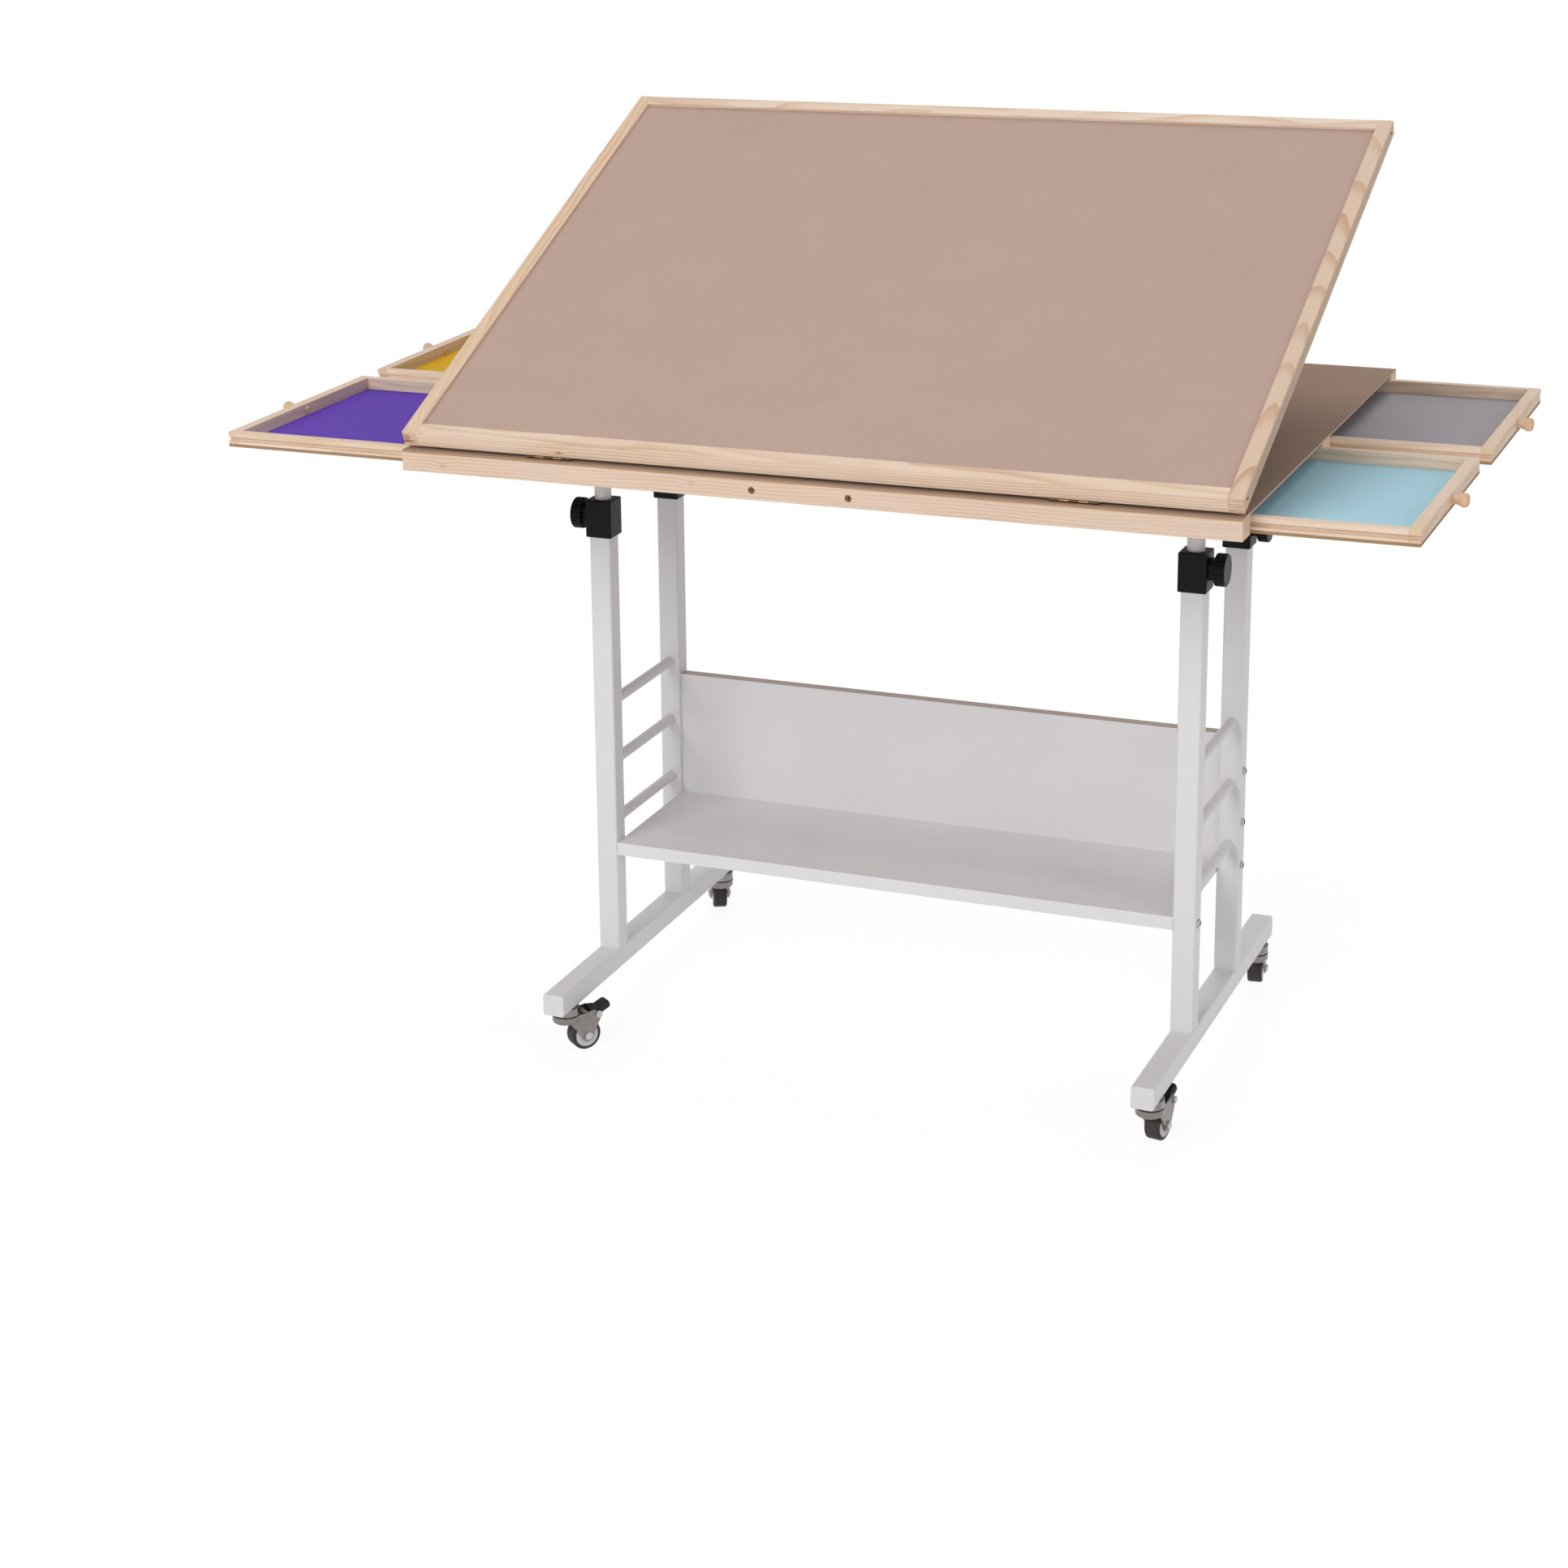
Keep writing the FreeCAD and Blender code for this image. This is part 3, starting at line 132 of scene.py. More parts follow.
def laminate(name, colour, cloudy="dcdadd", raw_edge=None):
    """Melamine paper pressed on particle board: flat white with a fine pressed emboss.
    raw_edge is the colour of an upper edge that has no paper on it."""
    material, tree, place, facing = start(name)
    # The emboss is 0.5 mm across and is drawn at 3 mm.
    emboss = add(tree, "ShaderNodeTexNoise", {"Vector": place, "Scale": every(3 * MM)})["Fac"]
    dents = add(tree, "ShaderNodeBump", {"Height": emboss, "Distance": 0.03 * MM, "Strength": 0.5})
    cloud = add(tree, "ShaderNodeTexNoise", {"Vector": place, "Scale": every(120 * MM)})["Fac"]
    paper = add(tree, "ShaderNodeMix", {SHARE: cloud, UNDER: linear(colour),
                                        OVER: linear(cloudy)}, data_type="RGBA")[MIXED]
    if raw_edge:
        upright = add(tree, "ShaderNodeSeparateXYZ", {"Vector": facing})["Z"]
        edge = add(tree, "ShaderNodeMapRange", {"Value": upright, "From Min": 0.8,
                                                "From Max": 0.9})[0]
        # Chips of 2 mm show in a sawn edge.
        chips = add(tree, "ShaderNodeTexVoronoi", {"Vector": place, "Scale": every(2 * MM)})
        sawn = add(tree, "ShaderNodeMix", {SHARE: 0.35, UNDER: linear(raw_edge),
                                           OVER: chips["Color"]},
                   data_type="RGBA", blend_type="SOFT_LIGHT")[MIXED]
        paper = add(tree, "ShaderNodeMix", {SHARE: edge, UNDER: paper, OVER: sawn},
                    data_type="RGBA")[MIXED]
    sheen = add(tree, "ShaderNodeMapRange", {"Value": emboss, "To Min": 0.42, "To Max": 0.56})
    shader = add(tree, "ShaderNodeBsdfPrincipled",
                 {"Base Color": paper, "Roughness": sheen[0], "Normal": dents[0]})
    add(tree, "ShaderNodeOutputMaterial", {"Surface": shader[0]})
    return material


PATTERN_SHIFT = (3.17, 1.71, 0.93)     # what a pine seed of 1 moves its patterns by
KNOT_SQUEEZE = 0.55                    # a knot's width over its length
KNOT_BROWN = "9a5f38"
SAWN_END = "d6b18b"
GLUE_BROWN = "7c5a3e"


def round_knots(tree, own, drawn, knots):
    """Bends the places that the year rings are drawn from, because fibres run round a knot.
    Returns them, and how much of each place is knot."""
    core = None
    for x, y, z, radius, darkness in knots:
        near = add(tree, "ShaderNodeVectorMath", {0: own, 1: (KNOT_SQUEEZE, 1, 1)},
                   operation="MULTIPLY")[0]
        away = add(tree, "ShaderNodeVectorMath",
                   {0: near, 1: (x * MM * KNOT_SQUEEZE, y * MM, z * MM)},
                   operation="DISTANCE")["Value"]
        push = add(tree, "ShaderNodeMapRange", {"Value": away, "From Min": 0.0,
                                                "From Max": 4.5 * radius * MM,
                                                "To Min": 1.3 * radius * MM, "To Max": 0.0},
                   interpolation_type="SMOOTHERSTEP")[0]
        side = add(tree, "ShaderNodeCombineXYZ", {"Y": push, "Z": push})[0]
        drawn = add(tree, "ShaderNodeVectorMath", {0: drawn, 1: side})[0]
        dark = add(tree, "ShaderNodeMapRange", {"Value": away, "From Min": 0.45 * radius * MM,
                                                "From Max": 1.5 * radius * MM,
                                                "To Min": darkness, "To Max": 0.0},
                   interpolation_type="SMOOTHSTEP")[0]
        core = dark if core is None else add(tree, "ShaderNodeMath", {0: core, 1: dark},
                                             operation="MAXIMUM")[0]
    return drawn, core


def glue_lines(tree, wood, own, sideways, heights, first, depth):
    """Draws glue lines over a wood's colour, on the faces that look sideways."""
    places = add(tree, "ShaderNodeSeparateXYZ", {"Vector": own})
    sideways = add(tree, "ShaderNodeMath", {0: sideways}, operation="ABSOLUTE")[0]
    shown = add(tree, "ShaderNodeMapRange", {"Value": sideways, "From Min": 0.6, "From Max": 0.9,
                                             "To Max": depth})[0]
    along = add(tree, "ShaderNodeMath", {0: places["X"]}, operation="ABSOLUTE")[0]
    beyond = add(tree, "ShaderNodeMath", {0: along, 1: first * MM}, operation="GREATER_THAN")[0]
    shown = add(tree, "ShaderNodeMath", {0: shown, 1: beyond}, operation="MULTIPLY")[0]
    for height in heights:
        # A glue line is 0.2 mm wide and is drawn at 0.9 mm.
        line = add(tree, "ShaderNodeMath", {0: places["Z"], 1: height * MM, 2: 0.45 * MM},
                   operation="COMPARE")[0]
        line = add(tree, "ShaderNodeMath", {0: line, 1: shown}, operation="MULTIPLY")[0]
        wood = add(tree, "ShaderNodeMix", {SHARE: line, UNDER: wood, OVER: linear(GLUE_BROWN)},
                   data_type="RGBA")[MIXED]
    return wood


def pine(name, grain, node, seed, early="eddac8", late="c89d74", ring=3.6 * MM, figure=0.6,
         blush=0.35, lean=0.014, heart=None, late_from=0.35, knots=(), seams=(),
         seams_from=0, seam_depth=0.55):
    """Knotty pine, planed, sanded and left bare: cream early wood, tan late wood, matt.

    grain turns the piece's length onto X, and its own places start from its middle. ring is the
    width of a year's growth and late_from the share of it that is early wood. figure is how
    strongly the late wood shows, and blush how warm the wood is in patches. heart is how far
    aside and below the piece's middle the tree's heart runs, in mm, and lean how far it slants,
    in radians. A knot is (x, y, z, radius, darkness), in mm. seams are the heights of glue lines,
    and seams_from how far from the middle they start, in mm."""
    material, tree, place, facing = start(name)
    turn = Euler(grain)
    own = add(tree, "ShaderNodeMapping", {"Vector": place, "Rotation": turn,
                                          "Location": -(turn.to_matrix() @ middle(node))})[0]
    facing = add(tree, "ShaderNodeMapping", {"Vector": facing, "Rotation": turn},
                 vector_type="VECTOR")[0]
    axes = add(tree, "ShaderNodeSeparateXYZ", {"Vector": facing})

    # Year rings lie about the tree's heart, which runs slightly aslant, 36 to 59 mm below the
    # piece's middle, and wanders by a few millimetres.
    slow = add(tree, "ShaderNodeMapping",
               {"Vector": own, "Scale": (every(200 * MM), every(62.5 * MM), every(62.5 * MM)),
                "Location": [seed * shift for shift in PATTERN_SHIFT]})[0]
    wander = add(tree, "ShaderNodeTexNoise", {"Vector": slow, "Scale": 1.0, "Detail": 1.5})
    drawn = add(tree, "ShaderNodeVectorMath", {0: wander["Color"], 1: (0, 14 * MM, 14 * MM),
                                               2: own}, operation="MULTIPLY_ADD")[0]
    drawn, core = round_knots(tree, own, drawn, knots)
    aside, below = heart or (22 * math.sin(seed * 5.1), 50 + 9 * math.cos(seed))
    about = add(tree, "ShaderNodeMapping",
                {"Vector": drawn, "Rotation": (0, lean, 0.3 * lean * math.cos(seed * 1.9)),
                 "Location": (0, aside * MM, below * MM)})[0]
    # A ring texture of scale 1 repeats every pi / 10.
    rings = add(tree, "ShaderNodeTexWave", {"Vector": about, "Scale": math.pi / 10 / ring,
                                            "Distortion": 0.0},
                wave_type="RINGS", rings_direction="X", wave_profile="SAW")["Fac"]
    late_wood = add(tree, "ShaderNodeMapRange", {"Value": rings, "From Min": late_from,
                                                 "From Max": 0.96},
                    interpolation_type="SMOOTHSTEP")[0]
    patches = add(tree, "ShaderNodeTexNoise", {"Vector": slow, "Scale": 0.8,
                                               "Detail": 2.0})["Fac"]
    contrast = add(tree, "ShaderNodeMapRange", {"Value": patches, "From Min": 0.35,
                                                "From Max": 0.65, "To Min": figure * 0.3,
                                                "To Max": figure})[0]
    clouds = add(tree, "ShaderNodeTexNoise", {"Vector": slow, "Scale": 1.7, "Detail": 2.0,
                                              "Distortion": 0.6})["Fac"]
    warmth = add(tree, "ShaderNodeMapRange", {"Value": clouds, "From Min": 0.42, "From Max": 0.7,
                                              "To Max": blush})[0]
    tone = add(tree, "ShaderNodeMix", {SHARE: warmth, UNDER: linear(early),
                                       OVER: linear("e5c5a4")}, data_type="RGBA")[MIXED]
    amount = add(tree, "ShaderNodeMath", {0: late_wood, 1: contrast}, operation="MULTIPLY")[0]
    wood = add(tree, "ShaderNodeMix", {SHARE: amount, UNDER: tone, OVER: linear(late)},
               data_type="RGBA")[MIXED]

    # Fibres are 0.2 mm wide, too fine to show, so they are drawn at 1.3 mm and 60 mm long.
    fine = add(tree, "ShaderNodeMapping",
               {"Vector": own, "Scale": (every(60 * MM), every(1.3 * MM), every(1.3 * MM))})[0]
    fibre = add(tree, "ShaderNodeTexNoise", {"Vector": fine, "Scale": 1.0, "Detail": 3.0})["Fac"]
    streak = add(tree, "ShaderNodeMix", {SHARE: fibre, UNDER: linear("e4dad0"),
                                         OVER: linear("ffffff")}, data_type="RGBA")[MIXED]
    wood = add(tree, "ShaderNodeMix", {SHARE: 0.75, UNDER: wood, OVER: streak},
               data_type="RGBA", blend_type="MULTIPLY")[MIXED]
    # Resin canals show as brown dashes 30 mm long. They are 0.3 mm wide and are drawn at 1 mm.
    grainwise = add(tree, "ShaderNodeMapping",
                    {"Vector": own, "Scale": (every(30 * MM), every(MM), every(MM))})[0]
    canal = add(tree, "ShaderNodeTexNoise", {"Vector": grainwise, "Scale": 1.0})["Fac"]
    canal = add(tree, "ShaderNodeMapRange", {"Value": canal, "From Min": 0.66, "From Max": 0.76,
                                             "To Max": 0.35})[0]
    wood = add(tree, "ShaderNodeMix", {SHARE: canal, UNDER: wood, OVER: linear("b98f6b")},
               data_type="RGBA")[MIXED]
    if core is not None:
        wood = add(tree, "ShaderNodeMix", {SHARE: core, UNDER: wood, OVER: linear(KNOT_BROWN)},
                   data_type="RGBA")[MIXED]

    # Sawn ends drink in light and look a shade darker.
    lengthwise = add(tree, "ShaderNodeMath", {0: axes["X"]}, operation="ABSOLUTE")[0]
    ends = add(tree, "ShaderNodeMapRange", {"Value": lengthwise, "From Min": 0.6, "From Max": 0.9,
                                            "To Max": 0.45})[0]
    wood = add(tree, "ShaderNodeMix", {SHARE: ends, UNDER: wood, OVER: linear(SAWN_END)},
               data_type="RGBA")[MIXED]
    if seams:
        wood = glue_lines(tree, wood, own, axes["Y"], seams, seams_from, seam_depth)

    ridge = add(tree, "ShaderNodeMath", {0: late_wood, 1: 0.4, 2: fibre},
                operation="MULTIPLY_ADD")[0]
    relief = add(tree, "ShaderNodeBump", {"Height": ridge, "Distance": 0.06 * MM,
                                          "Strength": 0.6})
    matt = add(tree, "ShaderNodeMapRange", {"Value": fibre, "To Min": 0.52, "To Max": 0.7})
    shader = add(tree, "ShaderNodeBsdfPrincipled",
                 {"Base Color": wood, "Roughness": matt[0], "Specular IOR Level": 0.3,
                  "Normal": relief[0]})
    add(tree, "ShaderNodeOutputMaterial", {"Surface": shader[0]})
    return material


def pressed_board(name, face, edge, back=None, front_edge_shade=None):
    """Hardboard, wood fibres pressed hot: a flat matt face with soft clouds and fine flecks.
    edge is the colour of its sawn edges, back that of a sheet that is coloured on its face only,
    and front_edge_shade that of its forward-facing edge, a darker painted shade for the shadow of
    the board above it."""
    material, tree, place, facing = start(name)
    clouds = add(tree, "ShaderNodeTexNoise", {"Vector": place, "Scale": every(70 * MM),
                                              "Detail": 3.0})["Fac"]
    # Fibre bundles are 0.5 mm wide and are drawn at 2.5 mm.
    flecks = add(tree, "ShaderNodeTexNoise", {"Vector": place, "Scale": every(2.5 * MM),
                                              "Detail": 2.0})["Fac"]
    cloudy = add(tree, "ShaderNodeMapRange", {"Value": clouds, "From Min": 0.3, "From Max": 0.7,
                                              "To Min": 0.955, "To Max": 1.0})[0]
    flecked = add(tree, "ShaderNodeMapRange", {"Value": flecks, "From Min": 0.3, "From Max": 0.7,
                                               "To Min": 0.95, "To Max": 1.0})[0]
    shade = add(tree, "ShaderNodeMath", {0: cloudy, 1: flecked}, operation="MULTIPLY")[0]
    axes = add(tree, "ShaderNodeSeparateXYZ", {"Vector": facing})
    upward = axes["Z"]
    if back is None:
        upward = add(tree, "ShaderNodeMath", {0: upward}, operation="ABSOLUTE")[0]
    flat = add(tree, "ShaderNodeMapRange", {"Value": upward, "From Min": 0.5, "From Max": 0.7})[0]
    colour = add(tree, "ShaderNodeMix", {SHARE: flat, UNDER: linear(back or edge),
                                         OVER: linear(face)}, data_type="RGBA")[MIXED]
    # Painted shade: the edge that faces forward takes a darker colour for the shadow that the
    # tilted board casts on it.
    if front_edge_shade:
        shaded_front = add(tree, "ShaderNodeMath", {0: axes["Y"], 1: -0.8}, operation="LESS_THAN")[0]
        colour = add(tree, "ShaderNodeMix", {SHARE: shaded_front, UNDER: colour,
                                             OVER: linear(front_edge_shade)}, data_type="RGBA")[MIXED]
    colour = add(tree, "ShaderNodeMix", {SHARE: 1.0, UNDER: colour, OVER: shade},
                 data_type="RGBA", blend_type="MULTIPLY")[MIXED]
    fuzz = add(tree, "ShaderNodeBump", {"Height": flecks, "Distance": 0.05 * MM, "Strength": 0.5})
    matt = add(tree, "ShaderNodeMapRange", {"Value": flecks, "To Min": 0.68, "To Max": 0.85})
    shader = add(tree, "ShaderNodeBsdfPrincipled",
                 {"Base Color": colour, "Roughness": matt[0], "Specular IOR Level": 0.15,
                  "Normal": fuzz[0]})
    add(tree, "ShaderNodeOutputMaterial", {"Surface": shader[0]})
    return material


def plated(name, colour, dull, roughness):
    """Plated steel: a metal skin with dull clouds a few millimetres wide and fine press marks."""
    material, tree, place, _ = start(name)
    clouds = add(tree, "ShaderNodeTexNoise", {"Vector": place, "Scale": every(6 * MM),
                                              "Detail": 2.0})["Fac"]
    skin = add(tree, "ShaderNodeMix", {SHARE: clouds, UNDER: linear(colour), OVER: linear(dull)},
               data_type="RGBA")[MIXED]
    sheen = add(tree, "ShaderNodeMapRange", {"Value": clouds, "From Min": 0.3, "From Max": 0.7,
                                             "To Min": roughness - 0.06,
                                             "To Max": roughness + 0.08})[0]
    # Press marks are 0.3 mm across and are drawn at 1.5 mm.
    marks = add(tree, "ShaderNodeTexNoise", {"Vector": place, "Scale": every(1.5 * MM)})["Fac"]
    relief = add(tree, "ShaderNodeBump", {"Height": marks, "Distance": 0.02 * MM,
                                          "Strength": 0.2})
    shader = add(tree, "ShaderNodeBsdfPrincipled",
                 {"Base Color": skin, "Metallic": 1.0, "Roughness": sheen, "Normal": relief[0]})
    add(tree, "ShaderNodeOutputMaterial", {"Surface": shader[0]})
    return material


def moulded(name, colour, worn, roughness, specular=0.3):
    """Moulded plastic or rubber: matt from the mould's fine spark-cut grain, and slightly greyed
    where it has been handled."""
    material, tree, place, _ = start(name)
    # The mould's grain is 0.3 mm across and is drawn at 1.5 mm.
    grain = add(tree, "ShaderNodeTexNoise", {"Vector": place, "Scale": every(1.5 * MM),
                                             "Detail": 2.0})["Fac"]
    handled = add(tree, "ShaderNodeTexNoise", {"Vector": place, "Scale": every(12 * MM)})["Fac"]
    amount = add(tree, "ShaderNodeMapRange", {"Value": handled, "From Min": 0.4,
                                              "From Max": 0.75})[0]
    skin = add(tree, "ShaderNodeMix", {SHARE: amount, UNDER: linear(colour), OVER: linear(worn)},
               data_type="RGBA")[MIXED]
    matt = add(tree, "ShaderNodeMapRange", {"Value": grain, "To Min": roughness - 0.06,
                                            "To Max": roughness + 0.06})[0]
    relief = add(tree, "ShaderNodeBump", {"Height": grain, "Distance": 0.05 * MM,
                                          "Strength": 0.6})
    shader = add(tree, "ShaderNodeBsdfPrincipled",
                 {"Base Color": skin, "Roughness": matt, "Specular IOR Level": specular,
                  "Normal": relief[0]})
    add(tree, "ShaderNodeOutputMaterial", {"Surface": shader[0]})
    return material


white_steel = powder_coat("powder_coated_steel", "dfdee0")
shelf_laminate = laminate("melamine_board", "e6e4e6")
panel_laminate = laminate("melamine_board_raw_top", "e2e0e3", raw_edge="b3a39a")
bright_zinc = plated("bright_zinc_plate", "c2c3c7", "b3b3b6", 0.3)
caster_zinc = plated("pressed_caster_steel", "948c89", "7d7572", 0.27)
race_steel = plated("polished_race_steel", "a6a3a3", "6b6766", 0.18)
brown_chromate = plated("brown_chromate_screw", "a5825c", "7d5f40", 0.4)
brass = plated("dulled_brass_plate", "a3875f", "664f35", 0.42)
# Painted shade: the lower hinge leaves are the same brass as the upper ones, coloured darker for
# the shade they lie in.
shaded_brass = plated("brass_plate_painted_shade", "6b563c", "43352a", 0.45)
black_nylon = moulded("black_nylon", "0d0d0e", "131314", 0.42, specular=0.14)
pedal_nylon = moulded("brown_black_nylon", "211c1b", "2d2725", 0.45, specular=0.25)
tyre_rubber = moulded("tyre_rubber", "35302d", "443e3a", 0.62)
hub_nylon = moulded("pale_hub_nylon", "d3d3d6", "c4c4c8", 0.45)
plug_plastic = moulded("white_end_plug", "dfdee0", "dcdbdc", 0.45)
# Painted shade: a dark colour for the shadow in the gap between a caster's race and its fork.
race_gap_shade = moulded("painted_race_gap_shade", "2a2624", "35302c", 0.5)
socket_shadow = moulded("shadowed_socket", "1f1d1c", "2c2a28", 0.7, specular=0.1)
slot_shadow = moulded("shadowed_slot", "3b2a1c", "4a3524", 0.7, specular=0.1)
taupe_board = pressed_board("taupe_hardboard", "c0a498", "a98c78")
# The darker front edge of the case top is painted shade of the board's shadow.
case_board = pressed_board("brown_hardboard", "a88d7b", "d2b9a0", front_edge_shade="b08d70")


# ---- pieces and their finishes ---------------------------------------------------------------

EASE = 0.6 * MM              # how far the edges of wooden pieces are sanded over
LAMINATE_EASE = 0.5 * MM
WELD = 0.001 * MM            # corners this close are one corner
SAME_PLANE = math.radians(1)
SHARP = math.radians(40)


def dress(name, *finishes):
    """Gives a node its finishes, in the order of its material slots."""
    held = nodes[name].data.materials
    held.clear()
    for finish in finishes:
        held.append(finish)


def eased(node, ease, *finishes, board_of=None):
    """Stands in for a wooden or laminated node: the same shape with its sharp edges rounded over.
    board_of tells the boards of a frame apart, and each takes the finish of its number."""
    source = nodes[node].data
    boards = {}
    for face in source.polygons:
        number = board_of(face.center, face.normal) if board_of else 0
        boards.setdefault(number, []).append(face)
    whole = bmesh.new()
    for number, faces in sorted(boards.items()):
        board = bmesh.new()
        for face in faces:
            corners = [board.verts.new(source.vertices[v].co) for v in face.vertices]
            board.faces.new(corners).material_index = number
        bmesh.ops.remove_doubles(board, verts=board.verts, dist=WELD)
        bmesh.ops.dissolve_limit(board, angle_limit=SAME_PLANE, verts=board.verts,
                                 edges=board.edges)
        merged = bpy.data.meshes.new(node + "_board")
        board.to_mesh(merged)
        whole.from_mesh(merged)
        board.free()
        bpy.data.meshes.remove(merged)
    mesh = bpy.data.meshes.new(node + "_eased")
    whole.to_mesh(mesh)
    whole.free()
    for finish in finishes:
        mesh.materials.append(finish)
    made = bpy.data.objects.new(node + "_eased", mesh)
    scene.collection.objects.link(made)
    rounding = made.modifiers.new("rounded_edges", "BEVEL")
    rounding.width = ease
    rounding.segments = 2
    rounding.limit_method = "ANGLE"
    rounding.angle_limit = SHARP
    rounding.use_clamp_overlap = True
    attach(made, body_of[node])
    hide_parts(node)


eased("case_front_rail", EASE,
      pine("pine_case_front", ALONG_X, "case_front_rail", 1.0, early="e3cdbc", late="c59f7e",
           figure=0.6, blush=0.3, knots=((-402, -15, -1, 2.5, 0.22), (-118, -15, 2, 2.5, 0.18))))
eased("case_rear_rail", EASE,
      pine("pine_case_rear", ALONG_X, "case_rear_rail", 2.0, figure=0.5))
eased("case_dividers", EASE,
      pine("pine_dividers", ALONG_X, "case_dividers", 3.0, figure=0.5))

# The fingers of the board's corners are a fifth of the rail's height, and the side rails are
# glued up from three strips. Heights are from the middle of a rail, in mm.
RAIL_HEIGHT = 17.0
FINGER_LINES = [RAIL_HEIGHT * (k / 5 - 0.5) for k in (1, 2, 3, 4)]
FINGERS_FROM = 434          # from the middle of a rail to where its fingers start, in mm
STRIP_LINES = [-1.9, 1.9]
eased("board_front_rail", EASE,
      pine("pine_board_front", BOARD_ALONG_X, "board_front_rail", 7.0, early="ecd6c3", figure=0.7,
           blush=0.4, knots=((-446, -6.5, -1, 5.0, 1.0), (-269, -8.5, -3, 2.2, 0.6)),
           seams=FINGER_LINES, seams_from=FINGERS_FROM, seam_depth=0.85))
eased("board_rear_rail", EASE,
      pine("pine_board_rear", BOARD_ALONG_X, "board_rear_rail", 8.0, figure=0.6,
           seams=FINGER_LINES, seams_from=FINGERS_FROM, seam_depth=0.85))
eased("board_left_rail", EASE,
      pine("pine_board_left", BOARD_ALONG_Y, "board_left_rail", 9.0, early="ead0b8", figure=0.6,
           blush=0.5, knots=((-346, 4, 1, 5.0, 0.95),), seams=STRIP_LINES))
eased("board_right_rail", EASE,
      pine("pine_board_right", BOARD_ALONG_Y, "board_right_rail", 10.0, early="dfc6b1",
           late="b98c62", ring=6.5 * MM, figure=0.8, blush=0.3, lean=-0.085, heart=(-9, 36),
           late_from=0.58, seams=STRIP_LINES))

FRONT_BOARD = 12 * MM       # thickness of a drawer's front board
BACK_BOARD = 10 * MM        # and of its back board and sides
HAIR = 0.02 * MM            # slack where a face's place is compared
LININGS = {"front_left": ("purple_lining", "6541b3"), "rear_left": ("yellow_lining", "dcae1c"),
           "front_right": ("blue_lining", "b2dbea"), "rear_right": ("grey_lining", "aaa5aa")}
BARE_BOTTOM = "a58466"


def drawer_board_of(corner):
    """For the frame of a drawer: which board a face belongs to. 0 and 1 are the sides, 2 the
    front that carries the pull, 3 the back."""
    low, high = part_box("drawer_frame_" + corner)
    side = 1 if corner.endswith("right") else -1
    face = high.x if side > 0 else low.x
    back = low.x if side > 0 else high.x
    side_low, side_high = low.y + BACK_BOARD, high.y - BACK_BOARD

    def board_of(place, normal):
        behind = (face - place.x) * side
        if behind < FRONT_BOARD - HAIR or (behind < FRONT_BOARD + HAIR and normal.x * side < 0):
            return 2
        within = side_low + HAIR < place.y < side_high - HAIR
        ends = ((abs(place.y - side_low) < HAIR and normal.y < -0.5)
                or (abs(place.y - side_high) < HAIR and normal.y > 0.5))
        if (place.x - back) * side < BACK_BOARD + HAIR and (within or ends):
            return 3
        return 0 if place.y < (low.y + high.y) / 2 else 1

    return board_of


for number, corner in enumerate(CORNERS):
    frame_name = "drawer_frame_" + corner
    sides = pine("pine_drawer_sides_" + corner, ALONG_X, frame_name, 11.0 + number,
                 early="eedbc8", figure=0.45, blush=0.4)
    ends = pine("pine_drawer_ends_" + corner, ALONG_Y, frame_name, 15.0 + number,
                early="ecd8c5", figure=0.45, blush=0.45)
    eased(frame_name, EASE, sides, sides, ends, ends, board_of=drawer_board_of(corner))
    lining, colour = LININGS[corner]
    dress("drawer_bottom_" + corner,
          pressed_board(lining, colour, BARE_BOTTOM, back=BARE_BOTTOM))
    dress("drawer_pull_" + corner,
          pine("turned_pine_" + corner, ALONG_X, "drawer_pull_" + corner, 19.0 + number,
               early="e4c3a3", late="c49a72", ring=2.5 * MM, figure=0.35))

eased("shelf", LAMINATE_EASE, shelf_laminate)
eased("back_panel", LAMINATE_EASE, panel_laminate)

dress("drawer_runners", pine("pine_runners", ALONG_X, "drawer_runners", 4.0))
dress("case_cross_rails", pine("pine_cross_rails", ALONG_Y, "case_cross_rails", 5.0))
dress("prop_racks", pine("pine_racks", ALONG_Y, "prop_racks", 6.0))
dress("case_top_panel", case_board)
dress("board_panel", taupe_board)

for name in ("side_frame_left", "side_frame_right", "lift_side_left", "lift_side_right",
             "lift_cross_tube_front", "lift_cross_tube_rear", "bearing_bars"):
    dress(name, white_steel)
dress("foot_end_caps", plug_plastic)
for name in ("shelf_and_panel_bolts", "lift_frame_bolts", "bearing_lower_plate",
             "bearing_upper_plate", "bearing_balls", "prop_bail"):
    dress(name, bright_zinc)
dress("clamp_blocks", black_nylon)
dress("prop_brackets", black_nylon)
dress("case_screws", brown_chromate)
# The lower leaves' darker brass is painted shade.
dress("hinge_lower_leaves", shaded_brass)
dress("hinge_upper_leaves", brass)
dress("caster_mounts", race_steel)
for corner in CORNERS:
    dress("clamp_knob_" + corner, black_nylon)
    dress("caster_fork_" + corner, caster_zinc, bright_zinc)
    dress("caster_wheel_" + corner, tyre_rubber, hub_nylon)
for corner in ("front_left", "front_right"):
    dress("brake_pedal_" + corner, pedal_nylon)


# ---- hubs, axles and pins, picked out by place -----------------------------------------------

